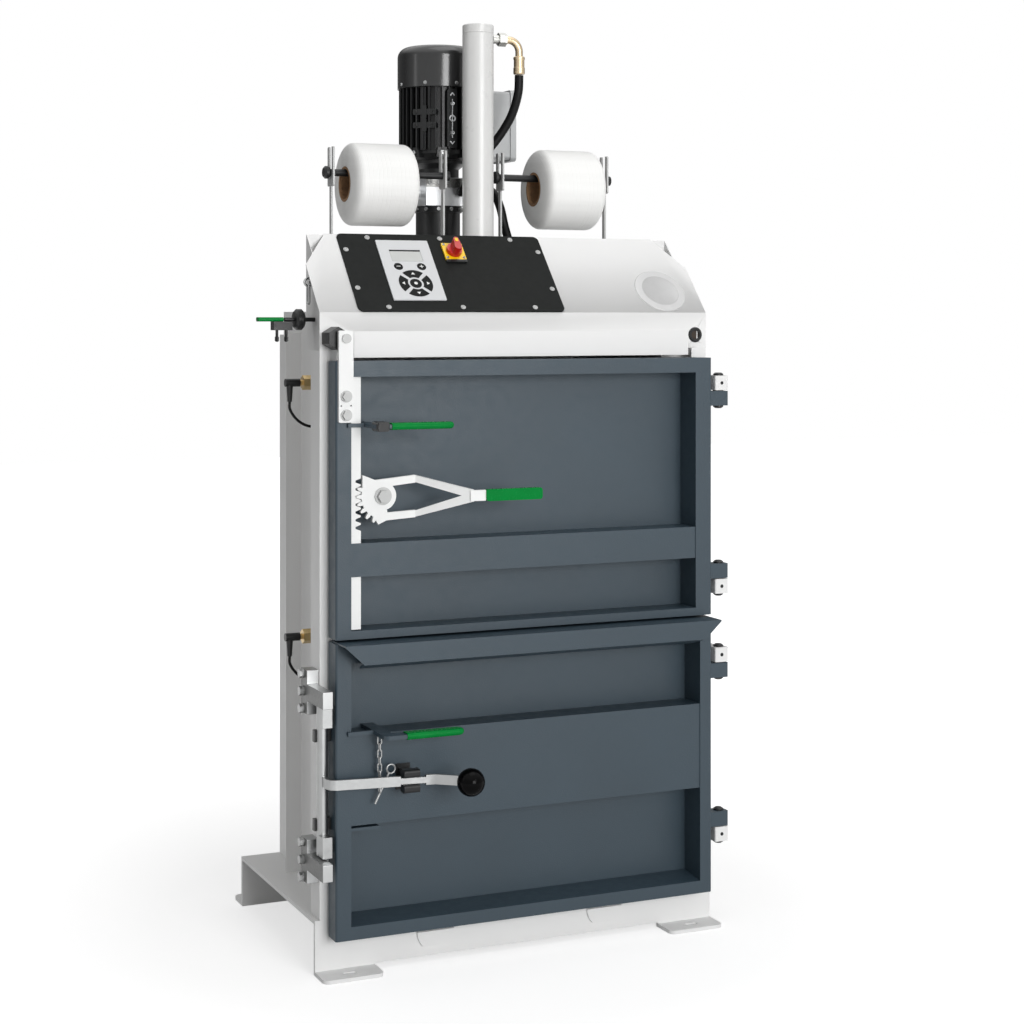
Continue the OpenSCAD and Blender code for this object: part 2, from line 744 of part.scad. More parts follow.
// Upright flat bar with a foot plate and a fork that takes the spool rod from above
module spool_post(x) translate([x - fork_t / 2, spool_y, 0]) {
    slot = spool_rod_d + 2 * slide_gap;
    fork_z0 = spool_rod_z - 30;
    translate([0, -6, bridge_z1]) cube([fork_t, 12, fork_z0 - bridge_z1 + 2]);
    translate([-18 + fork_t / 2, -18, bridge_z1]) cube([36, 36, fork_t]);
    difference() {
        along_x(0, fork_t) translate([0, fork_z0 + fork_h / 2]) round_rect(fork_w, fork_h, 4);
        translate([0, 0, spool_rod_z]) rod_x(-1, fork_t + 1, slot);
        translate([-1, -slot / 2, spool_rod_z]) cube([fork_t + 2, slot, fork_h]);
    }
}

module spool_posts() color("#b4b8ba") for (s = [-1, 1], d = [0, post_span]) spool_post(s * (post_mid + d));

// Rods resting in the forks, with a knob at the left end and a cap at the right end
module spool_rods() color("#1b1b1c") for (s = [-1, 1])
    translate([s * (post_mid + post_span / 2), spool_y, spool_rod_z - slide_gap + seat_gap]) {
        l = post_span / 2 + fork_t / 2;
        rod_x(-l - 14, l + 10, spool_rod_d);
        translate([-l - 16, 0, 0]) rotate([0, 90, 0]) rotate_extrude() polygon([[0, 0], [10, 0], [14, 4],
            [14, 10], [11, 14], [0, 14]]);
        rod_x(l + 2, l + 12, spool_rod_d + 6);
    }

module spool_at(s) translate([s * (post_mid + post_span / 2 + spool_shift), spool_y, spool_z])
    rotate([0, 90, 0]) children();

// Twine wound on a card core, with round shoulders
module twine() rotate_extrude($fn = 96) {
    r = spool_d / 2;
    soft = 14;
    translate([core_d / 2, -spool_l / 2]) square([r - soft - core_d / 2, spool_l]);
    translate([core_d / 2, -spool_l / 2 + soft]) square([r - core_d / 2, spool_l - 2 * soft]);
    for (s = [-1, 1]) translate([r - soft, s * (spool_l / 2 - soft)]) circle(soft);
}

module card_core() difference() {
    translate([0, 0, -spool_l / 2 - 3]) cylinder(h = spool_l + 6, d = core_d);
    translate([0, 0, -spool_l / 2 - 4]) cylinder(h = spool_l + 8, d = core_bore);
}

module left_twine() color("ivory") spool_at(-1) twine();
module left_core() color("#8a6a4a") spool_at(-1) card_core();
module right_twine() color("ivory") spool_at(1) twine();
module right_core() color("#8a6a4a") spool_at(1) card_core();

// Sensors, keepers, hinges and loose tools on the frame

// Screw-in sensor with two hexagon nuts and a slim connector
module sensors() color("#b08d57") for (z = sensor_z) translate([0, sensor_y, z]) {
    rod_x(-wall_x - 44, -wall_x + sheet_t - 1, sensor_d);
    for (x = [[-12, 12], [-58, 21]]) translate([-wall_x + x[0], 0, 0]) rotate([0, 90, 0]) hex_z(x[1], 27);
    rod_x(-wall_x - plug_out + 21, -wall_x - 44 + eps, 12);
}

// Angled plugs: a round head on the sensor and a tapering cable spout below it
module sensor_plugs() color("#161616") for (z = sensor_z) translate([-wall_x - plug_out, sensor_y, z]) {
    difference() {
        rod_x(-10, 22, 17);
        rod_x(20 + eps, 23, 12.4);
    }
    translate([0, 0, -plug_drop]) cylinder(h = plug_drop, d1 = 10, d2 = 15);
}

module sensor_cable(z) color("#161616") translate([0, 0, z - plug_drop]) swept_tube(cable_path, cable_d, 8);
module upper_sensor_cable() sensor_cable(sensor_z[1]);
module lower_sensor_cable() sensor_cable(sensor_z[0]);

// Keepers bolted to the left column: a thick plate and an arm that reaches in front of the door
module rod_keepers() color("#a7aaab") for (z = keeper_z) translate([0, 0, z]) {
    y0 = front_y + 6;
    difference() {
        box(keeper_x0, -frame_w / 2, y0, y0 + keeper_plate_d, -keeper_plate_h / 2, keeper_plate_h / 2);
        for (k = [-1:1]) translate([0, y0 + keeper_plate_d - keeper_in, k * keeper_pitch])
            rod_x(keeper_x0 - 1, -frame_w / 2 + 1, keeper_hole);
    }
    box(keeper_x0, keeper_x0 + keeper_t, keeper_front, y0 + eps, -keeper_h / 2, keeper_h / 2);
}

// Hexagon bolts through the keepers and the column's web, with washers
module keeper_bolts() color("#c9cccd") for (z = keeper_z, k = [-1:1])
    translate([keeper_x0, front_y + 6 + keeper_plate_d - keeper_in, z + k * keeper_pitch]) {
        rod_x(-2.5, 0, 20);
        translate([-9, 0, 0]) rotate([0, 90, 0]) hex_z(7, 17);
        rod_x(-2.5, -frame_w / 2 - keeper_x0, 10);
    }

module hinge_block(z, s, x0) difference() {
    z0 = s > 0 ? z + hinge_gap / 2 : z - hinge_gap / 2 - hinge_h;
    union() {
        translate([hinge_x, hinge_y, z0]) linear_extrude(hinge_h) round_rect(hinge_b, hinge_b, 4);
        box(x0, hinge_x, hinge_y - hinge_b / 2, hinge_y + hinge_b / 2, z0, z0 + hinge_h);
    }
    translate([hinge_x, hinge_y, z0 - 1]) cylinder(h = hinge_h + 2, d = hinge_pin_d + 2 * pin_gap);
}

// Frame half of each hinge: a block and an arm welded to the column's side
module frame_hinge_blocks() color("whitesmoke") for (h = concat(upper_hinges, lower_hinges)) {
    z0 = h[1] < 0 ? h[0] + hinge_gap / 2 : h[0] - hinge_gap / 2 - hinge_h;
    hinge_block(h[0], -h[1], hinge_x - hinge_b / 2 + 4);
    box(frame_w / 2, frame_w / 2 + 20, hinge_y + hinge_b / 2 - eps, front_y + col_d * 0.8, z0, z0 + hinge_h);
}

// Hinge pins with a head at each end and a thrust washer between the blocks
module hinge_pins() color("#26282a") for (h = concat(upper_hinges, lower_hinges))
    translate([hinge_x, hinge_y, h[0]]) {
        l = hinge_h + hinge_gap / 2 + seat_gap;
        translate([0, 0, -l - 4]) cylinder(h = 2 * l + 8, d = hinge_pin_d);
        for (a = [0, 1]) mirror([0, 0, a]) translate([0, 0, l]) rotate_extrude() polygon([[0, 0],
            [hinge_pin_d * 0.8, 0], [hinge_pin_d * 0.8, 3], [hinge_pin_d * 0.5, 6], [0, 6]]);
        translate([0, 0, -hinge_gap / 2 + seat_gap]) cylinder(h = hinge_gap - 2 * seat_gap, d = hinge_pin_d + 10);
    }

// Hexagonal stop on the hood, behind the stop bar
module door_stop() color("#18191a") translate([stop_x + 5, front_y, stop_z1 - 16]) rotate([90, 0, 0])
    rotate(30) hex_z(front_y - door_y - stop_gap, stop_af);

// Rod with a star knob, clamp and wing screws that holds the twine tool
module twine_tool() color("#141414") translate([cheek_x, tool_y, tool_z]) {
    rod_x(-66, 0, 9);
    translate([-45, 0, 0]) rotate([0, 90, 0]) rotate_extrude() polygon([[0, 0], [17, 0], [22, 5], [22, 15],
        [17, 20], [0, 20]]);
    box(-92, -52, -12, 12, -22, -4);
    for (x = [-82, -62]) translate([x, 0, -46]) {
        cylinder(h = 26, d = 6);
        translate([0, 0, 6]) cube([3, 20, 9], center = true);
    }
}

module tool_grip() color("#0b7a3b") translate([cheek_x, tool_y, tool_z + 0.5]) along_x(-124, -70) round_rect(18, 9, 4);

// Snap hook hanging from an eye on the hood's cheek
module snap_hook() color("#9aa0a3") translate([cheek_x, tool_y, tool_z + 78]) {
    rod_x(-12, 0, 6);
    translate([-14, 0, 0]) rotate([90, 0, 0]) rotate_extrude($fn = 32) translate([8, 0]) circle(d = 5);
    translate([-14, 0, -26]) rotate(90) chain_link(44, 18, 5);
}

// Doors

// Closed door: outer frame, inner box in the frame opening and the recesses between its rails
module door_body(z0, z1, box_z0, box_z1, right_stile, rails) difference() {
    union() {
        translate([0, door_y + door_t / 2, z0]) linear_extrude(z1 - z0) round_rect(2 * door_half, door_t, door_r);
        box(-box_half, box_half, door_y + door_t - eps, door_y + recess_d + panel_t, box_z0, box_z1);
    }
    for (k = [0:len(rails) - 2])
        box(-door_half + stile_l, door_half - right_stile, door_y - 1, door_y + recess_d,
            rails[k][1], rails[k + 1][0]);
    for (k = [1:len(rails) - 2])
        box(-door_half + stile_l, door_half - right_stile, door_y - 1, door_y + rail_back,
            rails[k][0] - eps, rails[k][1] + eps);
}

module upper_door() color("#46525c") {
    mid_z = upper_z0 + mid_rail_up;
    difference() {
        door_body(upper_z0, upper_z1, upper_z0, upper_z1, upper_stile_r,
            [[upper_z0, upper_z0 + upper_sill_rail], [mid_z, mid_z + mid_rail], [upper_z1 - top_rail, upper_z1]]);
        box(bar_x - seat_gap, bar_x + bar_w + slide_gap, lock_y - slide_gap, lock_y + lock_t + slide_gap,
            lock_bar_z0, upper_z1 + 1);
    }
    for (h = upper_hinges) hinge_block(h[0], h[1], door_half - eps);
}

// Sill: shelf, front flange and sloping return, with mitred ends
module sill() {
    x = door_half - 4;
    z = lower_z1;
    y = door_y;
    intersection() {
        along_x(-door_half, door_half) polygon([[y + door_t - 10, z - eps], [y + door_t - 10, z + sill_t],
            [y - sill_out, z + sill_t], [y - sill_out, z + sill_t - sill_h], [y + eps, z - sill_h - 12],
            [y + eps, z - sill_h - 8.5], [y - sill_out + sill_t, z + sill_t - sill_h + sill_t],
            [y - sill_out + sill_t, z], [y, z], [y, z - eps]]);
        along_y(y - sill_out - 1, y + door_t) polygon([[-x, z + sill_t + 1], [x, z + sill_t + 1], [x, z],
            [x - sill_h, z + sill_t - sill_h], [x - sill_h - 8, z - sill_h - 13], [-x + sill_h + 8, z - sill_h - 13],
            [-x + sill_h, z + sill_t - sill_h], [-x, z]]);
    }
}

module lower_door() color("#46525c") {
    mid_z = lower_z0 + mid_panel_up;
    ledge_z = base_h + 5;
    difference() {
        door_body(lower_z0, lower_z1, base_h + 2, lower_z1, lower_stile_r,
            [[lower_z0, ledge_z], [mid_z, mid_z + mid_panel], [lower_z1 - lower_top_rail, lower_z1]]);
        along_x(-door_half + stile_l, door_half - lower_stile_r) polygon([[door_y - 1, lower_z0 + foot_rail],
            [door_y, lower_z0 + foot_rail], [door_y + recess_d, ledge_z], [door_y + recess_d, ledge_z + eps],
            [door_y - 1, ledge_z + eps]]);
    }
    sill();
    box(-door_half + stile_l - eps, -door_half + stile_l + tab_w, door_y + rail_back, door_y + recess_d + eps,
        mid_z - 11, mid_z - 5);
    for (h = lower_hinges) hinge_block(h[0], h[1], door_half - eps);
}

// Level flat bar: a leg welded to the panel, a round corner and a carrier for the grip; a lug holds the stile
module pull_handle(k) {
    x = handle_x[k] + handle_leg / 2;
    y = door_y - handle_out;
    x1 = handle_grip_x[k] + handle_grip_l[k] - handle_w / 2;
    translate([0, 0, handle_z[k]]) linear_extrude(handle_t) {
        translate([handle_x[k], y]) square([handle_leg, handle_out + recess_d]);
        translate([x, y]) circle(d = handle_leg);
        translate([x, y - handle_w / 2]) square([x1 - x, handle_w]);
        translate([handle_x[k] + handle_leg, y + handle_w / 2]) 
            polygon([[-1, -1], [handle_gusset, -1], [-1, handle_gusset]]);
        translate([-door_half + stile_l - 9, door_y - 8]) square([handle_x[k] + door_half - stile_l + 10, 8]);
    }
}

// Dipped sleeve on the carrier, with a round end
module handle_sleeve(k) translate([0, door_y - handle_out, handle_z[k] + handle_t / 2]) difference() {
    w = handle_w + 5;
    h = handle_t + 6;
    x0 = handle_grip_x[k];
    x1 = x0 + handle_grip_l[k];
    union() {
        along_x(x0, x1 - w / 2) round_rect(w, h, h / 2 - eps);
        translate([x1 - w / 2, 0, 0]) rotate([0, 0, -90]) rotate_extrude(angle = 180) intersection() {
            round_rect(w, h, h / 2 - eps);
            translate([0, -h / 2]) square([w / 2, h]);
        }
    }
    box(x0 - 1, x1 - handle_w / 2, -handle_w / 2, handle_w / 2, -handle_t / 2, handle_t / 2);
}

module upper_handle() color("#2d3338") pull_handle(1);
module upper_grip() color("#0f9a45") handle_sleeve(1);
module lower_handle() color("#2d3338") pull_handle(0);
module lower_grip() color("#0f9a45") handle_sleeve(0);

// Stop bar on the upper door's left stile, reaching up in front of the hood
module stop_bar() color("white") difference() {
    along_y(door_y - stop_t, door_y) translate([stop_x + stop_w / 2, (stop_z0 + stop_z1) / 2])
        round_rect(stop_w, stop_z1 - stop_z0, 3);
    for (z = [stop_z0 + 15, stop_z0 + 53, stop_z1 - 16]) translate([stop_x + stop_w / 2, 0, z])
        rod_y(door_y - stop_t - 1, door_y + 1, 10.4);
    for (x = [5, stop_w - 5]) translate([stop_x + x, 0, stop_z0 + 34]) rod_y(door_y - stop_t - 1, door_y + 1, 3.5);
}

// Two hexagon bolts with washers and a flanged bush at the top
module stop_bar_bolts() color("#c9cccd") translate([stop_x + stop_w / 2, door_y, 0]) {
    for (z = [stop_z0 + 15, stop_z0 + 53]) translate([0, 0, z]) {
        rod_y(-stop_t - 2, 0, 10);
        rod_y(-stop_t - 2.5, -stop_t, 24);
        translate([0, -stop_t - 2, 0]) rotate([90, 0, 0]) hex_z(7, 17);
    }
    translate([0, 0, stop_z1 - 16]) {
        rod_y(-stop_t - 4, -1, 10);
        rod_y(-stop_t - 5, -stop_t, 19);
    }
}

// Pivot of the toothed lever: spacer on the panel, shoulder, washer and hexagon head
module lever_pivot() color("#b9bcbe") translate([pivot_x, 0, pivot_z]) {
    rod_y(lock_y + lock_t + seat_gap, door_y + recess_d, 32);
    rod_y(lock_y - seat_gap, lock_y + lock_t + seat_gap + eps, pivot_d);
    rod_y(lock_y - seat_gap - 3, lock_y - seat_gap, 36);
    translate([0, lock_y - seat_gap - 3 + eps, 0]) rotate([90, 0, 0]) hex_z(9, 24);
}

// Involute flank of the lever's teeth: half the tooth's angle at radius r, in degrees
base_r = pitch_r * cos(20);
function inv(a) = tan(a) * 180 / PI - a;
function flank_a(r) = let (a = r > base_r ? acos(base_r / r) : 0)
    90 / tooth_n + inv(20) - inv(a) - tooth_play / 2 / pitch_r * 180 / PI / 2;
function polar(r, a) = [r * cos(a), r * sin(a)];
root_r = pitch_r - 1.25 * tooth_m;
tip_r = pitch_r + 0.95 * tooth_m;
flank_r = [root_r, base_r, pitch_r, (pitch_r + tip_r) / 2, tip_r];
first_tooth = -1;
last_tooth = 4;

// Toothed sector: one outline of teeth and roots, pointing at -X and below
module tooth_sector() {
    step = 360 / tooth_n;
    m = len(flank_r) - 1;
    polygon(concat([[0, 0]], [for (k = [first_tooth:last_tooth], i = [0:2 * m + 1]) let (up = i <= m)
        polar(flank_r[up ? i : 2 * m + 1 - i], 180 + k * step + (up ? -1 : 1) * flank_a(flank_r[up ? i : 2 * m + 1 - i]))]));
}

// Outline of the lever's flat part: sector, horn, lobe round the pivot and the roots of its two arms
module lever_flat_outline() {
    tooth_sector();
    circle(29);
    polygon([[-44, 44], [-16, 33], [lever_flat, 41], [lever_flat, 25], [20, 20], [2, -3], [-44, 13]]);
    polygon([[-10, -58], [8, -50], [lever_flat, -46], [lever_flat, -31], [10, -34], [3, 2], [-20, -40]]);
}

// Bent arms that run together into the neck, drawn along their own slope
module lever_arm_outline(l) polygon([[-5, 40], [0, 40], [l, 12], [l, -12], [0, -45], [-5, -45], [-5, -32], [0, -32],
    [l * 0.8, 0], [0, 26], [-5, 26]]);

module lock_lever() color("white") translate([pivot_x, 0, pivot_z]) {
    arm_l = lever_rise / cos(lever_bend);
    neck_x = lever_flat + lever_rise;
    difference() {
        along_y(lock_y, lock_y + lock_t) lever_flat_outline();
        rod_y(lock_y - 1, lock_y + lock_t + 1, pivot_d + 2 * pin_gap);
    }
    translate([lever_flat, lock_y, 0]) rotate(-lever_bend) along_y(0, lock_t) lever_arm_outline(arm_l);
    translate([neck_x, lock_y - lever_out, 0]) {
        along_y(0, lock_t) {
            translate([11, 0]) square([34, 22], center = true);
            translate([grip_l / 2 + 20, 0]) square([grip_l, 16], center = true);
        }
    }
}

module lever_grip() color("#0f9a45") translate([pivot_x + lever_flat + lever_rise + 28, lock_y - lever_out, pivot_z])
    difference() {
        translate([0, lock_t / 2, 0]) along_y(-grip_t / 2, grip_t / 2) translate([grip_l / 2, 0])
            round_rect(grip_l, grip_h + 1, 6);
        box(-1, grip_l - 8, 0, lock_t, -8, 8);
    }

// Lock bar with rack teeth cut into its right edge beside the lever
module lock_bar() color("white") {
    pitch = PI * tooth_m;
    half = pitch / 4 + tooth_play / 4;
    slope = tan(20) * tooth_m;
    notch = [[-1.25 * tooth_m, half - slope * 1.25], [tooth_m + 1, half + slope * 1.2]];
    difference() {
        along_y(lock_y, lock_y + lock_t) translate([bar_x, lock_bar_z0])
            square([bar_w, lock_bar_z1 - lock_bar_z0]);
        for (k = [-4:2]) along_y(lock_y - 1, lock_y + lock_t + 1) translate([pivot_x - pitch_r, pivot_z + k * pitch])
            polygon([[notch[0][0], -notch[0][1]], [notch[1][0], -notch[1][1]],
                [notch[1][0], notch[1][1]], [notch[0][0], notch[0][1]]]);
    }
}

// Lower door lock

// Bearing blocks that carry the lock rod on the door's left edge
module rod_bearings() color("#2b2f32") for (s = [-1, 1]) translate([0, 0, rod_handle_z + s * bearing_dz]) difference() {
    w = lock_rod_d + 10;
    union() {
        translate([lock_rod_x, lock_rod_y, -12]) linear_extrude(24) round_rect(w, w - 4, 6);
        box(lock_rod_x, -door_half, lock_rod_y - 12, lock_rod_y + 12, -12, 12);
    }
    translate([lock_rod_x, lock_rod_y, -13]) cylinder(h = 26, d = lock_rod_d + 2 * pin_gap);
}

// Cam tongue at an end of the lock rod, in front of it
module rod_cam(z0) translate([lock_rod_x, lock_rod_y, z0]) {
    box(-cam_w / 2, cam_w / 2, -cam_r, 0, 0, cam_h);
}

// Points of the handle bar in plan, from the rod outwards, relative to the rod's axis
bar_path = [[0, 0], [0, -36], [4, -46], [14, -52], [215, -82], [252, -112], [269, -139]];
bar_t = 8;
bar_h = 20;
bar_n = len(bar_path);
ball_dir = bar_path[bar_n - 1] - bar_path[bar_n - 2];
notch_h = 6;
clip_x = -door_half + 127;
clip_w = 34;

// Lock rod with a cam at each end and a flat handle bar bent round the door's edge
module lock_rod() color("#c4c7c8") {
    z0 = keeper_z[0] + keeper_h / 2 + seat_gap + 3;
    z1 = keeper_z[1] - keeper_h / 2 - seat_gap - 3;
    translate([lock_rod_x, lock_rod_y, z0]) cylinder(h = z1 - z0, d = lock_rod_d);
    rod_cam(z0);
    rod_cam(z1 - cam_h);
    difference() {
        handle_bar(0);
        for (s = [-1, 1]) box(clip_x - 4, clip_x + clip_w + 14, door_y - 80, door_y,
            rod_handle_z + (s > 0 ? notch_h : -bar_h), rod_handle_z + (s > 0 ? bar_h : -notch_h));
    }
}

// Flat bar bent along its route, mitred at each point, ending inside the ball knob
function mitre(p, t) = [for (i = [0:len(p) - 1]) let (
        a = unit(p[max(i, 1)] - p[max(i, 1) - 1]),
        b = unit(p[min(i + 1, len(p) - 1)] - p[min(i + 1, len(p) - 1) - 1]),
        n = unit([-a[1] - b[1], a[0] + b[0]]))
    p[i] + t / 2 / (n * [-a[1], a[0]]) * n];
module handle_bar(first) translate([lock_rod_x, lock_rod_y, rod_handle_z - bar_h / 2]) linear_extrude(bar_h) {
    route = [for (i = [first:bar_n - 1]) i < bar_n - 1 ? bar_path[i] : bar_path[i - 1] + ball_dir * 0.6];
    back = mitre(route, -bar_t);
    polygon(concat(mitre(route, bar_t), [for (i = [len(back) - 1:-1:0]) back[i]]));
}

module ball_knob() color("#101010") difference() {
    b = bar_path[bar_n - 1];
    translate([lock_rod_x + b[0], lock_rod_y + b[1], rod_handle_z]) sphere(d = ball_d);
    handle_bar(bar_n - 3);
}

// Spring clip on the middle panel: two round jaws on arms, above and below the notched handle bar
module handle_clip() color("#17191a") {
    y = door_y + rail_back;
    reach = 60;
    jaw = 17;
    for (s = [-1, 1]) {
        z = rod_handle_z + s * (notch_h + 0.6 + jaw / 2);
        translate([0, y - reach + 14, z]) along_x(clip_x, clip_x + clip_w) round_rect(24, jaw, 6);
        box(clip_x + 6, clip_x + clip_w - 6, y - reach + 14, y, z - 3, z + 3);
    }
    box(clip_x + 2, clip_x + clip_w - 2, y - 5, y, rod_handle_z - 26, rod_handle_z + 26);
}

// Lynch pin with its ring behind the handle bar, on a short chain from the lower pull handle
module safety_pin() color("#c9cccd") {
    x = handle_x[0] + 10;
    y = door_y - 16;
    z = handle_z[0];
    link_l = 21;
    pitch = 14;
    count = 8;
    z_top = z - seat_gap - link_l / 2;
    z_end = z_top - (count - 1) * pitch - link_l / 2;
    for (k = [0:count - 1]) translate([x, y, z_top - k * pitch]) rotate(90 * (k % 2)) chain_link(link_l, 11, 3.2);
    translate([x, y, z_end]) rotate([0, pin_lean, 0]) {
        translate([0, 0, -22]) cylinder(h = pin_l + 22, d = 5);
        translate([0, 0, pin_l + 8]) rotate([90, 0, 0]) rotate_extrude($fn = 32) translate([9, 0]) circle(d = 4);
    }
}

// One oval chain link in the X-Z plane
module chain_link(l, w, d) {
    for (s = [-1, 1]) {
        translate([s * (w - d) / 2, 0, -(l - w) / 2]) cylinder(h = l - w, d = d, $fn = 16);
        translate([0, 0, s * (l - w) / 2]) rotate([90, 0, 0]) rotate(s > 0 ? 0 : 180)
            rotate_extrude(angle = 180, $fn = 24) translate([(w - d) / 2, 0]) circle(d = d, $fn = 16);
    }
}

base_frame();
left_side();
right_side();
rear_wall();
left_rear_post();
right_rear_post();
bridge();
hood();
control_plate();
keypad();
switch_plate();
switch_knob();
barrel();
hose_fitting();
pressure_hose();
return_hose();
oil_tank();
valve_block();
bell_housing();
motor_body();
fan_cowl();
terminal_box();
spool_posts();
spool_rods();
left_twine();
left_core();
right_twine();
right_core();
sensors();
sensor_plugs();
upper_sensor_cable();
lower_sensor_cable();
rod_keepers();
keeper_bolts();
frame_hinge_blocks();
hinge_pins();
door_stop();
twine_tool();
tool_grip();
snap_hook();
upper_door();
upper_handle();
upper_grip();
stop_bar();
stop_bar_bolts();
lever_pivot();
lock_lever();
lever_grip();
lock_bar();
lower_door();
lower_handle();
lower_grip();
rod_bearings();
handle_clip();
safety_pin();
lock_rod();
ball_knob();
ram();
press_plate();
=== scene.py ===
"""Studio scene of an upright recycling baler: finishes, cords and small parts around its fixed frame."""
import math

import bmesh
import bpy
from mathutils import Matrix, Vector


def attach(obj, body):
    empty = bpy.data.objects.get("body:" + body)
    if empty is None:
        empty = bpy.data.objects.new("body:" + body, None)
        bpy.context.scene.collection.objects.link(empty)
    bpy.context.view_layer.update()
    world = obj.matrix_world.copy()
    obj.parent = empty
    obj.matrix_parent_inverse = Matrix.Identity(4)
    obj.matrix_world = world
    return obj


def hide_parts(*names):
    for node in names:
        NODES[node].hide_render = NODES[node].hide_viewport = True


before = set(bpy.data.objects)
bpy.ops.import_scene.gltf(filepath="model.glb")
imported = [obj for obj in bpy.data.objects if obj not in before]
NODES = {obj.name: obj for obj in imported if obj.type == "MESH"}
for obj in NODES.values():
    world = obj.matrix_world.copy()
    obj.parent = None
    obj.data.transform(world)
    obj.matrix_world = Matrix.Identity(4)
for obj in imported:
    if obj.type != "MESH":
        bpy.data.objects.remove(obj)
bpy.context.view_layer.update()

MM = 0.001

# Front plane of the hood and of the base, in millimetres
FRAME_FRONT = -265

# Sloping front of the hood: its lower edge, its angle and its length up the slope
SLOPE_RISE, SLOPE_RUN = 167, 150
SLOPE_FOOT = Vector((0, FRAME_FRONT, 1353)) * MM
SLOPE_ANGLE = math.atan2(SLOPE_RISE, SLOPE_RUN)
SLOPE_LENGTH = math.hypot(SLOPE_RISE, SLOPE_RUN)
PLATE_TOP = 3.0
KEYPAD_TOP = 6.0
ON_SLOPE = Matrix.Translation(SLOPE_FOOT) @ Matrix.Rotation(SLOPE_ANGLE, 4, "X")


# Node helpers for the materials

# Sockets of a mix node: its factor, its two numbers, its two colours and the results
MIX_FACTOR, MIX_NUMBERS, MIX_COLOURS = 0, (2, 3), (6, 7)
MIXED_NUMBER, MIXED_COLOUR = 0, 2


def principled(name):
    """A new material with its node tree and its shader."""
    material = bpy.data.materials.new(name)
    material.use_nodes = True
    tree = material.node_tree
    return material, tree, tree.nodes["Principled BSDF"]


def position(tree, stretch=(1, 1, 1)):
    """Coordinates in metres on the piece itself, stretched along its axes."""
    coords = tree.nodes.new("ShaderNodeTexCoord")
    mapping = tree.nodes.new("ShaderNodeMapping")
    mapping.inputs["Scale"].default_value = stretch
    tree.links.new(coords.outputs["Object"], mapping.inputs["Vector"])
    return mapping.outputs["Vector"]


def noise(tree, vector, scale, detail):
    node = tree.nodes.new("ShaderNodeTexNoise")
    node.inputs["Scale"].default_value = scale
    node.inputs["Detail"].default_value = detail
    tree.links.new(vector, node.inputs["Vector"])
    return node.outputs["Fac"]


def remap(tree, value, low, high, start=0.3, end=0.7):
    """Maps a noise value between start and end onto low to high."""
    node = tree.nodes.new("ShaderNodeMapRange")
    for socket, number in (("From Min", start), ("From Max", end), ("To Min", low), ("To Max", high)):
        node.inputs[socket].default_value = number
    tree.links.new(value, node.inputs["Value"])
    return node.outputs["Result"]


def mix_colour(tree, value, first, second):
    node = tree.nodes.new("ShaderNodeMix")
    node.data_type = "RGBA"
    for index, colour in zip(MIX_COLOURS, (first, second)):
        node.inputs[index].default_value = (*colour, 1)
    tree.links.new(value, node.inputs[MIX_FACTOR])
    return node.outputs[MIXED_COLOUR]


def mix_value(tree, factor, first, second):
    """Mixes two numbers or sockets by a factor."""
    node = tree.nodes.new("ShaderNodeMix")
    tree.links.new(factor, node.inputs[MIX_FACTOR])
    for index, value in zip(MIX_NUMBERS, (first, second)):
        if isinstance(value, float):
            node.inputs[index].default_value = value
        else:
            tree.links.new(value, node.inputs[index])
    return node.outputs[MIXED_NUMBER]


def bump(tree, shader, height, depth):
    """Adds a height, in metres, to the shader's normal."""
    node = tree.nodes.new("ShaderNodeBump")
    node.inputs["Distance"].default_value = depth
    node.inputs["Strength"].default_value = 1.0
    tree.links.new(height, node.inputs["Height"])
    if shader.inputs["Normal"].is_linked:
        tree.links.new(shader.inputs["Normal"].links[0].from_socket, node.inputs["Normal"])
    tree.links.new(node.outputs["Normal"], shader.inputs["Normal"])


def shade(colour, factor):
    return tuple(channel * factor for channel in colour)


def surface(name, colour, rough, variation, patch, grain, depth, stretch=(1, 1, 1), **sockets):
    """Material with slow colour patches, uneven gloss and a fine grain.

    Patch and grain are noise scales, depth is the grain's height in metres, and
    the sockets are constants on the shader.
    """
    material, tree, shader = principled(name)
    for socket, number in sockets.items():
        shader.inputs[socket.replace("_", " ")].default_value = number
    vector = position(tree, stretch)
    patches = remap(tree, noise(tree, vector, patch, 5.0), 0, 1)
    tree.links.new(mix_colour(tree, patches, shade(colour, 1 - variation), shade(colour, 1 + variation)),
                   shader.inputs["Base Color"])
    tree.links.new(remap(tree, noise(tree, vector, patch * 9, 4.0), rough * 0.88, rough * 1.12),
                   shader.inputs["Roughness"])
    bump(tree, shader, noise(tree, vector, grain, 2.0), depth)
    return material


def zinc_plate(name, colour, rough):
    """Galvanised steel with faint spangles and drawn lines."""
    material = surface(name, colour, rough, 0.07, 30.0, 500.0, 0.00006, Metallic=1.0)
    tree = material.node_tree
    shader = tree.nodes["Principled BSDF"]
    cells = tree.nodes.new("ShaderNodeTexVoronoi")
    cells.inputs["Scale"].default_value = 160.0
    tree.links.new(position(tree), cells.inputs["Vector"])
    bump(tree, shader, cells.outputs["Distance"], 0.00008)
    bump(tree, shader, noise(tree, position(tree, (1, 1, 0.06)), 900.0, 2.0), 0.00004)
    return material


def fitting_zinc(name):
    """Zinc on the adapter and nut, yellowish passivated zinc on the bent pipe further out."""
    plain, passivated = (0.46, 0.46, 0.44), (0.52, 0.41, 0.27)
    nut_end, pipe_start = 0.066, 0.068
    material = zinc_plate(name, plain, 0.36)
    tree = material.node_tree
    axes = tree.nodes.new("ShaderNodeSeparateXYZ")
    tree.links.new(position(tree), axes.inputs["Vector"])
    outer = remap(tree, axes.outputs["X"], 0.0, 1.0, nut_end, pipe_start)
    tree.links.new(mix_colour(tree, outer, plain, passivated),
                   tree.nodes["Principled BSDF"].inputs["Base Color"])
    return material


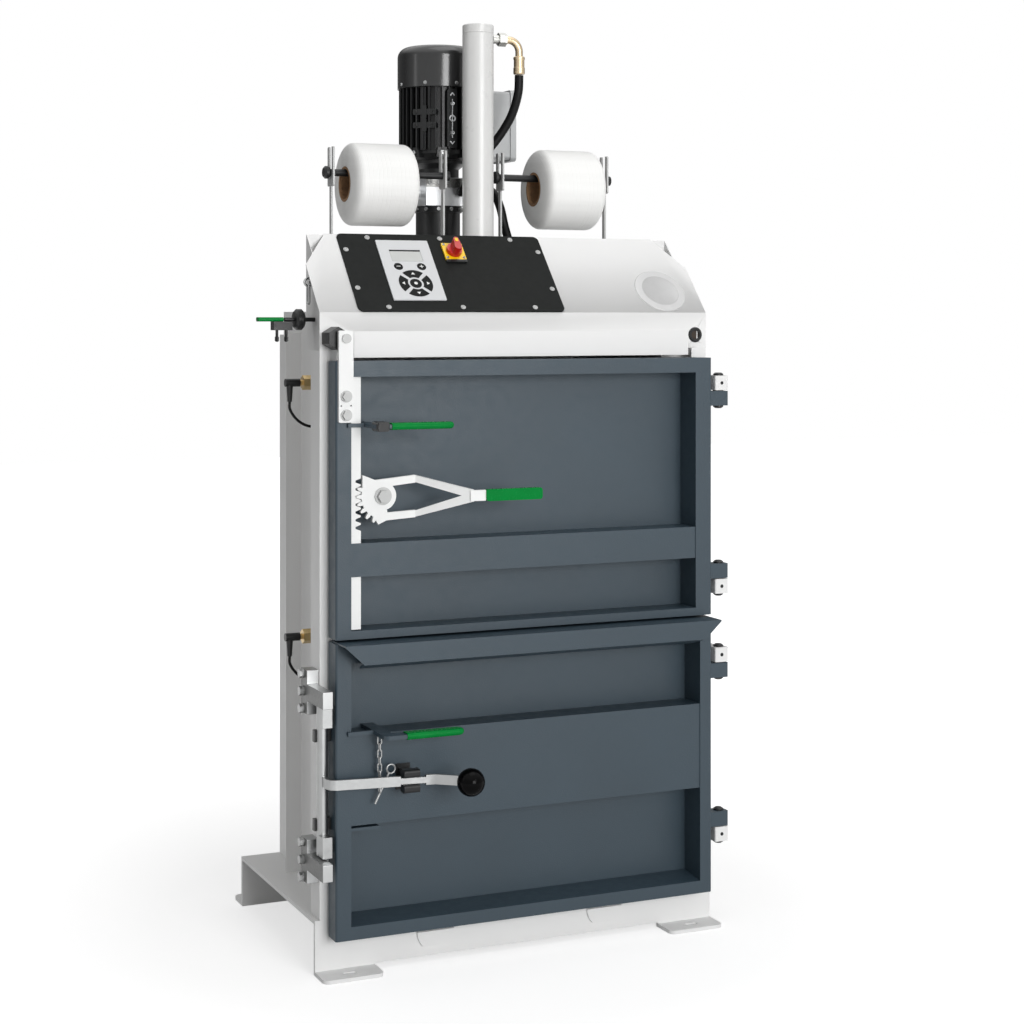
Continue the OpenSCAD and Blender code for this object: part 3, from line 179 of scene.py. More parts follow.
def zinc_with_painted_side_shade(name):
    """Zinc with painted shade: faces that look towards -X get a dark base colour, all other faces stay
    bright.
    """
    bright, dark = (0.40, 0.405, 0.405), (0.085, 0.087, 0.085)
    material = zinc_plate(name, bright, 0.36)
    tree = material.node_tree
    coords = tree.nodes.new("ShaderNodeTexCoord")
    axes = tree.nodes.new("ShaderNodeSeparateXYZ")
    tree.links.new(coords.outputs["Normal"], axes.inputs["Vector"])
    # Painted shade: the base colour turns dark on faces whose normal points towards -X
    side = remap(tree, axes.outputs["X"], 1.0, 0.0, -0.95, -0.7)
    tree.links.new(mix_colour(tree, side, bright, dark),
                   tree.nodes["Principled BSDF"].inputs["Base Color"])
    return material


def wound_twine(name, colour):
    """Flat strap wound round the X axis: soft bands, fine lines and a little sheen."""
    material = surface(name, colour, 0.52, 0.02, 60.0, 240.0, 0.00020, (1, 0.05, 0.05), Sheen_Weight=0.05)
    tree = material.node_tree
    shader = tree.nodes["Principled BSDF"]
    bump(tree, shader, noise(tree, position(tree, (1, 0.08, 0.08)), 900.0, 2.0), 0.00012)
    return material


MATERIALS = {
    "frame_white": surface("white_powder_coat", (0.83, 0.83, 0.825), 0.42, 0.012, 3.0, 700.0, 0.00010,
                           Specular_IOR_Level=0.25),
    "door_grey": surface("grey_powder_coat", (0.027, 0.046, 0.062), 0.44, 0.06, 5.0, 420.0, 0.00028,
                         Specular_IOR_Level=0.45),
    "zinc": zinc_plate("zinc", (0.33, 0.335, 0.335), 0.38),
    "bright_zinc": surface("white_zinc", (0.88, 0.885, 0.88), 0.45, 0.02, 9.0, 600.0, 0.00010,
                           Specular_IOR_Level=0.25),
    "press_steel": surface("press_steel", (0.30, 0.31, 0.32), 0.5, 0.10, 8.0, 300.0, 0.0002, Metallic=0.6),
    "black_plastic": surface("black_plastic", (0.010, 0.0105, 0.011), 0.36, 0.12, 20.0, 900.0, 0.00008,
                             Specular_IOR_Level=0.3),
    "gloss_black": surface("gloss_black", (0.002, 0.002, 0.0022), 0.12, 0.10, 20.0, 200.0, 0.00002,
                           Specular_IOR_Level=0.05),
    "plate_black": surface("plate_black", (0.009, 0.010, 0.0095), 0.50, 0.08, 10.0, 900.0, 0.00012,
                           Specular_IOR_Level=0.07),
    "motor_black": surface("motor_black", (0.009, 0.0095, 0.010), 0.34, 0.15, 16.0, 380.0, 0.00022,
                           Specular_IOR_Level=0.35),
    "cowl_grey": surface("cowl_grey", (0.023, 0.0235, 0.024), 0.19, 0.08, 12.0, 500.0, 0.00006),
    "dark_zinc": zinc_plate("dark_zinc", (0.36, 0.36, 0.35), 0.30),
    # Zinc with painted shade on its faces that look towards -X
    "keeper_zinc_painted_shade": zinc_with_painted_side_shade("keeper_zinc_painted_shade"),
    "bolt_grey": surface("bolt_zinc", (0.50, 0.505, 0.50), 0.38, 0.06, 60.0, 700.0, 0.00006),
    "green_plastic": surface("green_dip", (0.0, 0.215, 0.036), 0.26, 0.08, 26.0, 60.0, 0.00018,
                             Specular_IOR_Level=0.07),
    "keypad_grey": surface("keypad_foil", (0.60, 0.61, 0.62), 0.40, 0.012, 12.0, 1100.0, 0.00004),
    "symbol_white": surface("symbol_white", (0.78, 0.78, 0.77), 0.45, 0.015, 40.0, 1100.0, 0.00003),
    "switch_yellow": surface("switch_yellow", (0.90, 0.58, 0.0), 0.34, 0.04, 30.0, 800.0, 0.00005),
    "switch_red": surface("switch_red", (0.52, 0.012, 0.010), 0.30, 0.06, 30.0, 800.0, 0.00005),
    "aluminium": surface("aluminium", (0.70, 0.71, 0.72), 0.36, 0.06, 40.0, 500.0, 0.00012, Metallic=1.0),
    "brass": surface("brass", (0.50, 0.37, 0.18), 0.32, 0.12, 50.0, 600.0, 0.00006, Metallic=1.0),
    "fitting": fitting_zinc("fitting_zinc"),
    "hose_rubber": surface("hose_rubber", (0.004, 0.004, 0.0043), 0.42, 0.15, 30.0, 700.0, 0.00015,
                           Specular_IOR_Level=0.14),
    "twine_white": wound_twine("twine", (0.88, 0.88, 0.865)),
    "card": surface("card", (0.30, 0.17, 0.085), 0.78, 0.18, 90.0, 500.0, 0.00025),
    "barrel_grey": surface("barrel_grey", (0.70, 0.70, 0.69), 0.30, 0.02, 4.0, 700.0, 0.00006),
    "box_grey": surface("box_grey", (0.44, 0.45, 0.455), 0.42, 0.05, 10.0, 600.0, 0.00012),
    "display": surface("display", (0.46, 0.475, 0.46), 0.16, 0.03, 30.0, 900.0, 0.00001),
    "badge": surface("badge", (0.52, 0.52, 0.52), 0.38, 0.03, 40.0, 900.0, 0.00004, Metallic=0.2),
    "badge_dark": surface("badge_dark", (0.42, 0.42, 0.42), 0.38, 0.03, 40.0, 900.0, 0.00004, Metallic=0.2),
    # Near-black brown used as painted shade in holes and slots
    "painted_opening_shade": surface("painted_opening_shade", (0.022, 0.012, 0.006), 0.7, 0.2, 60.0, 600.0, 0.0002),
}


# Finish of the frame's own pieces: width of the rounded edges in millimetres, then the pieces
FINISH = {
    "frame_white": (0.9, ["base_frame", "left_side", "right_side", "rear_wall", "left_rear_post",
                          "right_rear_post", "bridge", "hood", "frame_hinge_blocks"]),
    "door_grey": (2.0, ["upper_door", "lower_door", "upper_handle", "lower_handle"]),
    # The keepers' zinc has painted shade on the faces that look towards -X
    "keeper_zinc_painted_shade": (0.8, ["rod_keepers"]),
    "zinc": (0.8, ["keeper_bolts", "lock_rod", "snap_hook", "safety_pin"]),
    "bolt_grey": (0.6, ["stop_bar_bolts", "lever_pivot", "spool_posts"]),
    "bright_zinc": (0.7, ["stop_bar", "lock_lever", "lock_bar"]),
    "press_steel": (1.0, ["press_plate", "ram"]),
    "black_plastic": (0.8, ["door_stop", "twine_tool", "handle_clip", "sensor_plugs", "spool_rods",
                            "rod_bearings", "hinge_pins"]),
    "gloss_black": (0.0, ["ball_knob"]),
    "plate_black": (0.5, ["control_plate"]),
    "motor_black": (0.7, ["motor_body", "bell_housing", "oil_tank"]),
    "cowl_grey": (0.8, ["fan_cowl"]),
    "green_plastic": (1.2, ["upper_grip", "lower_grip", "lever_grip", "tool_grip"]),
    "keypad_grey": (0.4, ["keypad"]),
    "switch_yellow": (0.6, ["switch_plate"]),
    "switch_red": (1.0, ["switch_knob"]),
    "aluminium": (1.2, ["valve_block"]),
    "brass": (0.5, ["sensors"]),
    "fitting": (0.5, ["hose_fitting"]),
    "hose_rubber": (0.0, ["pressure_hose", "return_hose", "upper_sensor_cable", "lower_sensor_cable"]),
    "twine_white": (0.0, ["left_twine", "right_twine"]),
    "card": (0.6, ["left_core", "right_core"]),
    "barrel_grey": (0.8, ["barrel"]),
    "box_grey": (1.2, ["terminal_box"]),
}
SHARP = math.radians(32)
WELD_REACH = 0.00002
EDGE_SEGMENTS = 3


def round_edges(obj, width):
    """Welds the split mesh, rounds its sharp edges and keeps its flat faces flat."""
    weld = obj.modifiers.new("weld", "WELD")
    weld.merge_threshold = WELD_REACH
    bevel = obj.modifiers.new("round", "BEVEL")
    bevel.width = width * MM
    bevel.segments = EDGE_SEGMENTS
    bevel.limit_method = "ANGLE"
    bevel.angle_limit = SHARP
    bevel.miter_outer = "MITER_ARC"
    obj.modifiers.new("normals", "WEIGHTED_NORMAL").keep_sharp = True


def dress(name, finish, edge):
    """Gives a piece of the frame its finish and its rounded edges."""
    obj = NODES[name]
    obj.data.materials.clear()
    obj.data.materials.append(MATERIALS[finish])
    if edge > 0:
        attribute = obj.data.attributes.get("custom_normal")
        if attribute:
            obj.data.attributes.remove(attribute)
        obj.data.shade_smooth()
        obj.data.set_sharp_from_angle(angle=SHARP)
        round_edges(obj, edge)


for finish, (edge, names) in FINISH.items():
    for name in names:
        dress(name, finish, edge)


# Mesh helpers for the small parts

def piece(name, mesh_data, finish, body, matrix=None, smooth=True):
    """An object from (vertices in millimetres, faces) that rides on a body."""
    vertices, faces = mesh_data
    mesh = bpy.data.meshes.new(name)
    mesh.from_pydata([Vector(v) * MM for v in vertices], [], faces)
    build = bmesh.new()
    build.from_mesh(mesh)
    bmesh.ops.remove_doubles(build, verts=build.verts, dist=1e-7)
    bmesh.ops.recalc_face_normals(build, faces=build.faces)
    build.to_mesh(mesh)
    build.free()
    if smooth:
        mesh.shade_smooth()
        mesh.set_sharp_from_angle(angle=SHARP)
    mesh.materials.append(MATERIALS[finish])
    obj = bpy.data.objects.new(name, mesh)
    bpy.context.scene.collection.objects.link(obj)
    if matrix is not None:
        obj.matrix_world = matrix
    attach(obj, body)
    return obj


def lathe(profile, steps):
    """Turns an open (radius, height) profile round Z."""
    vertices = []
    for k in range(steps):
        angle = math.radians(360 * k / steps)
        vertices += [(r * math.cos(angle), r * math.sin(angle), z) for r, z in profile]
    rows = len(profile)
    faces = []
    for k in range(steps):
        a, b = k * rows, ((k + 1) % steps) * rows
        faces += [(a + i, b + i, b + i + 1, a + i + 1) for i in range(rows - 1)]
    return vertices, faces


def prism(outline, low, high):
    """Extrudes a closed (x, y) outline from low to high."""
    n = len(outline)
    vertices = [(x, y, z) for z in (low, high) for x, y in outline]
    faces = [tuple(range(n - 1, -1, -1)), tuple(range(n, 2 * n))]
    faces += [(i, (i + 1) % n, n + (i + 1) % n, n + i) for i in range(n)]
    return vertices, faces


def merged(parts):
    """Joins several (vertices, faces) into one."""
    vertices, faces = [], []
    for part_vertices, part_faces in parts:
        start = len(vertices)
        vertices += part_vertices
        faces += [tuple(start + i for i in face) for face in part_faces]
    return vertices, faces


def moved(part, matrix):
    """A copy of (vertices, faces) under a matrix in millimetres."""
    return [tuple(matrix @ Vector(v)) for v in part[0]], part[1]


def arc(radius, first, last, steps, centre=(0, 0)):
    """Points on an arc, in degrees."""
    angles = [math.radians(first + (last - first) * k / steps) for k in range(steps + 1)]
    return [(centre[0] + radius * math.cos(a), centre[1] + radius * math.sin(a)) for a in angles]


def rounded_box(width, height, radius, steps=6):
    """Outline of a rectangle with round corners, centred."""
    points = []
    for k, (sx, sy) in enumerate(((1, 1), (-1, 1), (-1, -1), (1, -1))):
        centre = (sx * (width / 2 - radius), sy * (height / 2 - radius))
        points += arc(radius, 90 * k, 90 * k + 90, steps, centre)
    return points


# Cords: routes in millimetres, as the frame has them

CORD_FINISH = "hose_rubber"


def smooth_route(points, steps=5):
    """Catmull-Rom curve through the points of a route."""
    line = [Vector(p) for p in points]
    line = [line[0] * 2 - line[1], *line, line[-1] * 2 - line[-2]]
    route = []
    for a, b, c, d in zip(line, line[1:], line[2:], line[3:]):
        for k in range(steps):
            t = k / steps
            route.append(0.5 * (2 * b + (c - a) * t + (2 * a - 5 * b + 4 * c - d) * t * t
                                + (3 * b - a - 3 * c + d) * t ** 3))
    return route + [line[-2]]


def cord(name, points, diameter, node):
    """A hose or cable between two pieces of the frame."""
    route = [p * MM for p in smooth_route(points)]
    curve = bpy.data.curves.new(name, "CURVE")
    curve.dimensions = "3D"
    curve.bevel_depth = diameter * MM / 2
    curve.bevel_resolution = 6
    curve.use_fill_caps = True
    spline = curve.splines.new("POLY")
    spline.points.add(len(route) - 1)
    for point, place in zip(spline.points, route):
        point.co = (*place, 1)
    spline.use_smooth = True
    curve.materials.append(MATERIALS[CORD_FINISH])
    obj = bpy.data.objects.new(name, curve)
    bpy.context.scene.collection.objects.link(obj)
    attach(obj, "frame")
    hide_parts(node)


PRESSURE_ROUTE = [(101, -31, 1890), (100, -28, 1850), (92, -14, 1805), (76, 0, 1768), (57, 11, 1738),
                  (36, 22, 1710), (18, 35, 1680), (7, 48, 1652), (2, 62, 1630), (2, 77, 1630)]
RETURN_ROUTE = [(14, 105, 1640), (32, 105, 1640), (54, 90, 1640), (74, 58, 1630), (84, 38, 1596),
                (94, 34, 1550), (101, 18, 1502), (98, 5, 1460), (84, -14, 1428), (64, -27, 1412),
                (48, -31, 1410), (35, -31, 1410)]
CABLE_ROUTE = [(-459, -90, 0), (-459, -90, -14), (-452, -90, -28), (-440, -90, -41), (-425, -90, -50),
               (-409, -90, -54), (-391, -90, -56), (-373, -90, -56)]
HOSE_DIAMETER = 20
CABLE_DIAMETER = 6
CABLE_TOPS = {"upper_sensor_cable": 1164, "lower_sensor_cable": 625}

cord("hydraulic_pressure_hose", PRESSURE_ROUTE, HOSE_DIAMETER, "pressure_hose")
cord("hydraulic_return_hose", RETURN_ROUTE, HOSE_DIAMETER, "return_hose")
for node, top in CABLE_TOPS.items():
    route = [(x, y, z + top) for x, y, z in CABLE_ROUTE]
    cord(node + "_lead", route, CABLE_DIAMETER, node)


# Controls on the hood's slope: x across, y up the slope, z outwards, in millimetres

FRONT = -90


def on_slope(x, y, z=0.0):
    return ON_SLOPE @ Matrix.Translation(Vector((x, y, z)) * MM)


def facing(x, y, z, azimuth=FRONT):
    """Matrix at a place in millimetres whose Z looks outwards at an azimuth, with Y upwards."""
    upright = Matrix.Rotation(math.radians(90), 4, "X")
    turn = Matrix.Rotation(math.radians(azimuth + 90), 4, "Z") @ upright
    return Matrix.Translation(Vector((x, y, z)) * MM) @ turn


def many(name, mesh_data, places, finish, body):
    """Copies of one small part at several matrices, in one object."""
    parts = []
    for matrix in places:
        scaled = matrix.copy()
        scaled.translation = matrix.translation / MM
        parts.append(moved(mesh_data, scaled))
    piece(name, merged(parts), finish, body)


def button_screw(radius, washer):
    """Button head with a socket, on a washer."""
    return lathe([(0, 1.5), (radius * 0.42, 1.5), (radius * 0.46, 3.0), (radius * 0.75, 2.8),
                  (radius * 0.95, 1.9), (radius, 1.1), (washer, 1.0), (washer, 0.0)], 24)


def socket_screw(radius, height):
    """Cap screw with a deep socket."""
    return lathe([(0, height * 0.4), (radius * 0.5, height * 0.4), (radius * 0.55, height),
                  (radius * 0.9, height), (radius, height * 0.88), (radius, 0.0)], 20)


# Screws of the control plate: columns along its long edges, rows along its ends
PLATE_LEFT, PLATE_RIGHT = -366, 105
SCREW_INSET = 12
SCREW_COLUMNS = (-298, -131, 36)
END_ROWS = (66, 176)
plate_screws = [on_slope(x, y, PLATE_TOP) for x in SCREW_COLUMNS
                for y in (SCREW_INSET, SLOPE_LENGTH - SCREW_INSET)]
plate_screws += [on_slope(x, y, PLATE_TOP) for x in (PLATE_LEFT + SCREW_INSET, PLATE_RIGHT - SCREW_INSET)
                 for y in END_ROWS]
many("control_plate_screws", button_screw(4.4, 5.6), plate_screws, "bolt_grey", "frame")

# Display of the keypad, with a thin dark strip along its upper edge as painted shadow of the keypad's rim
DISPLAY_X, DISPLAY_Y, DISPLAY_W, DISPLAY_H = -223.5, 158.0, 70, 33
DISPLAY_LOW, DISPLAY_TOP = 5.02, 5.5
DISPLAY_SHADOW_LOW, DISPLAY_SHADOW_HIGH, DISPLAY_SHADOW_TOP = 12.6, 16.3, 5.7
DISPLAY_PLACE = on_slope(DISPLAY_X, DISPLAY_Y)
DISPLAY_SHADOW_STRIP = [(-DISPLAY_W / 2, DISPLAY_SHADOW_LOW), (DISPLAY_W / 2, DISPLAY_SHADOW_LOW),
                (DISPLAY_W / 2, DISPLAY_SHADOW_HIGH), (-DISPLAY_W / 2, DISPLAY_SHADOW_HIGH)]
piece("display_panel", prism(rounded_box(DISPLAY_W, DISPLAY_H, 2), DISPLAY_LOW, DISPLAY_TOP),
      "display", "frame", DISPLAY_PLACE)
# Dark strip on the display's upper edge: painted shadow
piece("display_painted_shadow", prism(DISPLAY_SHADOW_STRIP, DISPLAY_TOP, DISPLAY_SHADOW_TOP), "plate_black", "frame", DISPLAY_PLACE)

# Keys and plain symbols of the keypad
KEY_ROW, LEFT_KEY, RIGHT_KEY = 125.7, -249, -196.5
KEY_RING = on_slope(-222, 77, KEYPAD_TOP)
QUARTERS = [KEY_RING @ Matrix.Rotation(math.radians(90 * k), 4, "Z") for k in range(4)]
ROUND_KEY = lathe([(0, 0.9), (7.5, 0.9), (9.2, 0.7), (10.2, 0.0)], 40)
CENTRE_KEY = lathe([(0, 0.9), (10.5, 0.9), (12.0, 0.7), (13.2, 0.0)], 40)
CENTRE_DOT = lathe([(0, 1.1), (3.6, 1.1), (4.0, 0.9)], 24)
SECTOR = prism(arc(37.5, -38, 38, 16) + arc(17.5, 33, -33, 10), 0, 0.8)
TRIANGLE = prism([(31.5, 0), (25.0, 4.4), (25.0, -4.4)], 0.8, 1.0)
LEVEL_BAR = prism(rounded_box(9, 1.8, 0.8, 3), 0.9, 1.1)
UPRIGHT_BAR = prism(rounded_box(1.8, 9, 0.8, 3), 0.9, 1.1)
many("round_keys", ROUND_KEY, [on_slope(x, KEY_ROW, KEYPAD_TOP) for x in (LEFT_KEY, RIGHT_KEY)],
     "plate_black", "frame")
many("arrow_keys", SECTOR, QUARTERS, "plate_black", "frame")
piece("centre_key", CENTRE_KEY, "plate_black", "frame", KEY_RING)
many("key_arrows", TRIANGLE, QUARTERS, "symbol_white", "frame")
many("key_symbols", merged([LEVEL_BAR, UPRIGHT_BAR]), [on_slope(RIGHT_KEY, KEY_ROW, KEYPAD_TOP)],
     "symbol_white", "frame")
piece("key_bar", LEVEL_BAR, "symbol_white", "frame", on_slope(LEFT_KEY, KEY_ROW, KEYPAD_TOP))
piece("centre_dot", CENTRE_DOT, "symbol_white", "frame", KEY_RING)

# Base below the main switch, the mark on its knob and the screws of its plate
SWITCH_X, SWITCH_Y = -110, 172
SWITCH_FOOT, SWITCH_MARK = 144.2, 180.5
SWITCH_FACE, SWITCH_CORNER = 7.0, 19
piece("switch_base",
      merged([prism(rounded_box(48, 7, 2), 0, 4.5), prism(rounded_box(42, 3, 1, 3), 4.5, 5.2)]),
      "black_plastic", "frame", on_slope(SWITCH_X, SWITCH_FOOT, PLATE_TOP))
piece("switch_mark", prism(rounded_box(7, 9, 1.6, 3), 34.3, 35.1), "switch_yellow", "switch_knob",
      on_slope(SWITCH_X, SWITCH_MARK))
switch_screws = [on_slope(SWITCH_X + sx * SWITCH_CORNER, SWITCH_Y + sy * SWITCH_CORNER, SWITCH_FACE)
                 for sx in (-1, 1) for sy in (-1, 1)]
many("switch_screws", button_screw(2.6, 3.2), switch_screws, "zinc", "frame")

# Plain disc at the right of the slope
DISC = on_slope(359, 65)
piece("slope_disc", lathe([(43, 1.3), (57, 1.5), (59, 1.2), (60, 0.0)], 96), "badge", "frame", DISC)
piece("slope_disc_middle", lathe([(0, 1.1), (41.5, 1.1), (42.6, 1.6), (43.6, 1.3)], 96),
      "badge_dark", "frame", DISC)

# Grommet in the hood's front, with a dark disc in its hole as painted shade
GROMMET = facing(424, FRAME_FRONT, 1304)
GROMMET_PROFILE = [(9.5, -1.8), (9.5, 1.6), (11.0, 2.8), (14.5, 2.8), (16.6, 1.4), (17.0, 0.0)]
piece("hood_grommet", lathe(GROMMET_PROFILE, 40), "black_plastic", "frame", GROMMET)
# Dark disc inside the grommet: painted shade of the open hole
piece("hood_grommet_painted_shade", lathe([(0, -1.2), (9.6, -1.2)], 40), "painted_opening_shade", "frame", GROMMET)

# Hydraulic power pack: castings and screws round the motor's axis
MOTOR_X, MOTOR_Y = -34, 125
FIN_TIP = 90
FIN_LOW, FIN_HIGH = 1724, 1866
FIN_MIDDLE = (FIN_LOW + FIN_HIGH) / 2


def on_motor(azimuth, z, radius):
    """Matrix on the motor's side: Z outwards, Y upwards."""
    angle = math.radians(azimuth)
    return facing(MOTOR_X + radius * math.cos(angle), MOTOR_Y + radius * math.sin(angle), z, azimuth)


# Two bridges over the fins with a bolt at each end
BRIDGE_AZIMUTH, BRIDGE_BOLTS = -132, (-13, 13)
BRIDGE_LEVELS = (FIN_MIDDLE - 17, FIN_MIDDLE + 13)
BRIDGE_R = FIN_TIP - 1.5
BRIDGE = merged([prism(rounded_box(56, 13, 3), -14, 0.5), prism(rounded_box(10, 30, 3), -14, 1.5)])
many("motor_foot_bridges", BRIDGE, [on_motor(BRIDGE_AZIMUTH, z, BRIDGE_R) for z in BRIDGE_LEVELS],
     "motor_black", "frame")
many("motor_foot_bolts", socket_screw(4.6, 4.5),
     [on_motor(BRIDGE_AZIMUTH + turn, z, BRIDGE_R) for turn in BRIDGE_BOLTS for z in BRIDGE_LEVELS],
     "motor_black", "frame")

# Upright ridge over the fins, with cast rings, two arrows and a line
RIDGE = on_motor(-91, FIN_MIDDLE - 2, FIN_TIP)
RIDGE_FACE = 1.4
CAST_RINGS = ((33, 4.6), (0, 7.8), (-33, 4.6))
RING_SHAPES = [moved(lathe([(r * 0.55, 0.2), (r * 0.62, 2.6), (r * 0.9, 2.8), (r, 1.8), (r, 0)], 32),
                     Matrix.Translation((0, dy, RIDGE_FACE))) for dy, r in CAST_RINGS]
ARROW = [(-6, -3.5), (0, 3.5), (6, -3.5), (4, -5), (0, 0), (-4, -5)]
ARROW_REACH, ARROW_TOP = 56, 2.6
piece("motor_ridge", prism(rounded_box(24, 134, 6), -14, 1.5), "motor_black", "frame", RIDGE)
piece("motor_cast_rings", merged(RING_SHAPES), "aluminium", "frame", RIDGE)
piece("motor_cast_arrows",
      merged([prism([(x, ARROW_REACH + y) for x, y in ARROW], RIDGE_FACE, ARROW_TOP),
              prism([(x, -ARROW_REACH - y) for x, y in reversed(ARROW)], RIDGE_FACE, ARROW_TOP),
              prism(rounded_box(2, 88, 0.8, 3), RIDGE_FACE, 2.0)]),
      "aluminium", "frame", RIDGE)

# Screws of the fan cowl, lugs under the fins and screws round the neck
COWL_LEVEL, LUG_LEVEL, NECK_LEVEL = 1874, 1716, 1590
COWL_AZIMUTHS = (-175, -130, -85, -40, 50, 95, 140)
LUG_AZIMUTHS = (-150, -105, -60, 30, 120)
NECK_AZIMUTHS = range(-170, 181, 30)
COWL_R, LUG_R, LUG_BOLT_R, NECK_R = FIN_TIP + 2.6, FIN_TIP - 8, FIN_TIP - 4, 54.8
many("cowl_screws", button_screw(3.4, 4.2),
     [on_motor(azimuth, COWL_LEVEL, COWL_R) for azimuth in COWL_AZIMUTHS], "zinc", "frame")
many("motor_lugs", prism([(-14, -10), (14, -10), (10, 12), (-10, 12)], -14, 4),
     [on_motor(azimuth, LUG_LEVEL, LUG_R) for azimuth in LUG_AZIMUTHS], "motor_black", "frame")
many("motor_lug_bolts", socket_screw(5, 5),
     [on_motor(azimuth, LUG_LEVEL, LUG_BOLT_R) for azimuth in LUG_AZIMUTHS], "zinc", "frame")
many("neck_screws", socket_screw(4.2, 4.5),
     [on_motor(azimuth, NECK_LEVEL, NECK_R) for azimuth in NECK_AZIMUTHS], "zinc", "frame")

# Band and screws on the valve block's front
BLOCK_FRONT, BLOCK_LEVEL = 77, 1650
BAND_SHEET = 0.8
BLOCK_SCREWS = (-74, -52, -30)
piece("block_band", prism(rounded_box(95, 21, 1.5, 3), 0, BAND_SHEET), "dark_zinc", "frame",
      facing(MOTOR_X, BLOCK_FRONT, BLOCK_LEVEL))
many("block_screws", socket_screw(4.5, 4),
     [facing(x, BLOCK_FRONT - BAND_SHEET, BLOCK_LEVEL) for x in BLOCK_SCREWS], "zinc", "frame")

# Twine: wound strap with a ridge for each turn, on the spool's own dome
SPOOL_X, SPOOL_Y, SPOOL_Z = 228, 5, 1635
SPOOL_R, SPOOL_HALF, SPOOL_DOME = 91, 75.5, 22
CORE_R, CORE_WALL, CORE_SHOWN = 39, 5, 70
CORE_GAP = 0.2
TURN_PITCH, TURN_DEPTH = 3.2, 0.45
SHOULDER = 0.7
DOME_STEP, FLAT_STEPS = 2, 90


def twine_profile():
    """Outline of the winding from one core edge to the other, with shallow grooves between the turns."""
    edge = SPOOL_HALF - SPOOL_DOME
    wrap = SPOOL_R - CORE_R
    dome = [(CORE_R + wrap * math.cos(a) ** SHOULDER, -edge - SPOOL_DOME * math.sin(a) ** SHOULDER)
            for a in [math.radians(degrees) for degrees in range(90, -1, -DOME_STEP)]]
    flat = [(SPOOL_R, -edge + 2 * edge * k / FLAT_STEPS) for k in range(1, FLAT_STEPS)]
    smooth = dome + flat + [(r, -z) for r, z in reversed(dome)]
    outline, walked = [], 0.0
    for k, (r, z) in enumerate(smooth):
        before, after = smooth[max(k - 1, 0)], smooth[min(k + 1, len(smooth) - 1)]
        walked += math.dist(before, (r, z))
        tangent = Vector((after[0] - before[0], after[1] - before[1])).normalized()
        dip = TURN_DEPTH * (1 - abs(math.sin(math.pi * walked / TURN_PITCH)))
        outline.append((r - dip * tangent.y, z + dip * tangent.x))
    return outline


for side, node, body in ((-1, "left_twine", "left_spool"), (1, "right_twine", "right_spool")):
    centre = Matrix.Translation(Vector((side * SPOOL_X, SPOOL_Y, SPOOL_Z)) * MM)
    spool = centre @ Matrix.Rotation(math.radians(90), 4, "Y")
    outline = twine_profile()
    inside = [(CORE_R + CORE_GAP, outline[-1][1]), (CORE_R + CORE_GAP, outline[0][1])]
    wound = piece(node + "_winding", lathe(outline + inside, 120), "twine_white", body, spool)
    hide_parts(node)
    rings = [lathe([(CORE_R - CORE_WALL, sign * CORE_SHOWN), (CORE_R - CORE_WALL, sign * SPOOL_HALF),
                    (CORE_R, sign * SPOOL_HALF)], 64) for sign in (-1, 1)]
    piece(node + "_core_ends", merged(rings), "card", body, spool)

# Rear posts folded from sheet: a flange that looks forwards and a leg on the wall
POST_X, POST_W, POST_Y, POST_D, POST_SHEET = 373, 35, 97, 68, 4
POST_LOW, POST_HIGH = 112, 1309
POST_FOLD = [(0, 0), (POST_W, 0), (POST_W, POST_SHEET), (POST_SHEET, POST_SHEET),
             (POST_SHEET, POST_D), (0, POST_D)]
for side, node in ((-1, "left_rear_post"), (1, "right_rear_post")):
    fold = [(side * (POST_X + x), POST_Y + y) for x, y in POST_FOLD]
    post = piece(node + "_angle", prism(fold, POST_LOW, POST_HIGH), "frame_white", "frame", smooth=False)
    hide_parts(node)

# Bearing saddles behind the lock rod, one over and one under its handle
ROD_X, ROD_Y, ROD_SEAT = -454, -290, 11.6
SADDLE_LEFT, SADDLE_RIGHT, SADDLE_FRONT, SADDLE_BACK = -470, -435, -289, -276
SADDLE_LEVELS, SADDLE_HALF = (314, 494), 12
seat = [(x, max(y, SADDLE_FRONT)) for x, y in arc(ROD_SEAT, 180, 0, 16, (ROD_X, ROD_Y))]
saddle = [(SADDLE_LEFT, SADDLE_FRONT), *seat, (SADDLE_RIGHT, SADDLE_FRONT),
          (SADDLE_RIGHT, SADDLE_BACK), (SADDLE_LEFT, SADDLE_BACK)]
saddles = piece("rod_saddles",
                merged([prism(saddle, z - SADDLE_HALF, z + SADDLE_HALF) for z in SADDLE_LEVELS]),
                "black_plastic", "lower_door", smooth=False)
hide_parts("rod_bearings")

# Collar on the upper pull handle, beside its sleeve
COLLAR = facing(-361, -398, 1124)
piece("upper_handle_collar",
      merged([prism(rounded_box(27, 20, 5), -32, -3), prism(rounded_box(23, 16, 4), -35, 0)]),
      "black_plastic", "upper_door", COLLAR)

# Set screws in the hinge blocks, and thin dark lines over the skirt's tongues as painted shade of their
# slots
HINGE_X, HINGE_FRONT = 464, -314.5
HINGE_LEVELS = (1198, 749.5, 598.5, 203)
TONGUE_LEVEL, TONGUES = 64.2, (-197, 197)
many("hinge_set_screws", lathe([(0, 0.1), (2.0, 0.1), (2.2, 0.7), (3.6, 0.6), (4.0, 0.0)], 20),
     [facing(HINGE_X, HINGE_FRONT, z) for z in HINGE_LEVELS], "black_plastic", "frame")
# Dark lines on the skirt's front: painted shade of the tongues' slots
many("tongue_slot_painted_shade", prism(rounded_box(88, 3.2, 1.4, 3), -0.5, 0.4),
     [facing(x, FRAME_FRONT, TONGUE_LEVEL) for x in TONGUES], "painted_opening_shade", "frame")


# Camera, light and floor

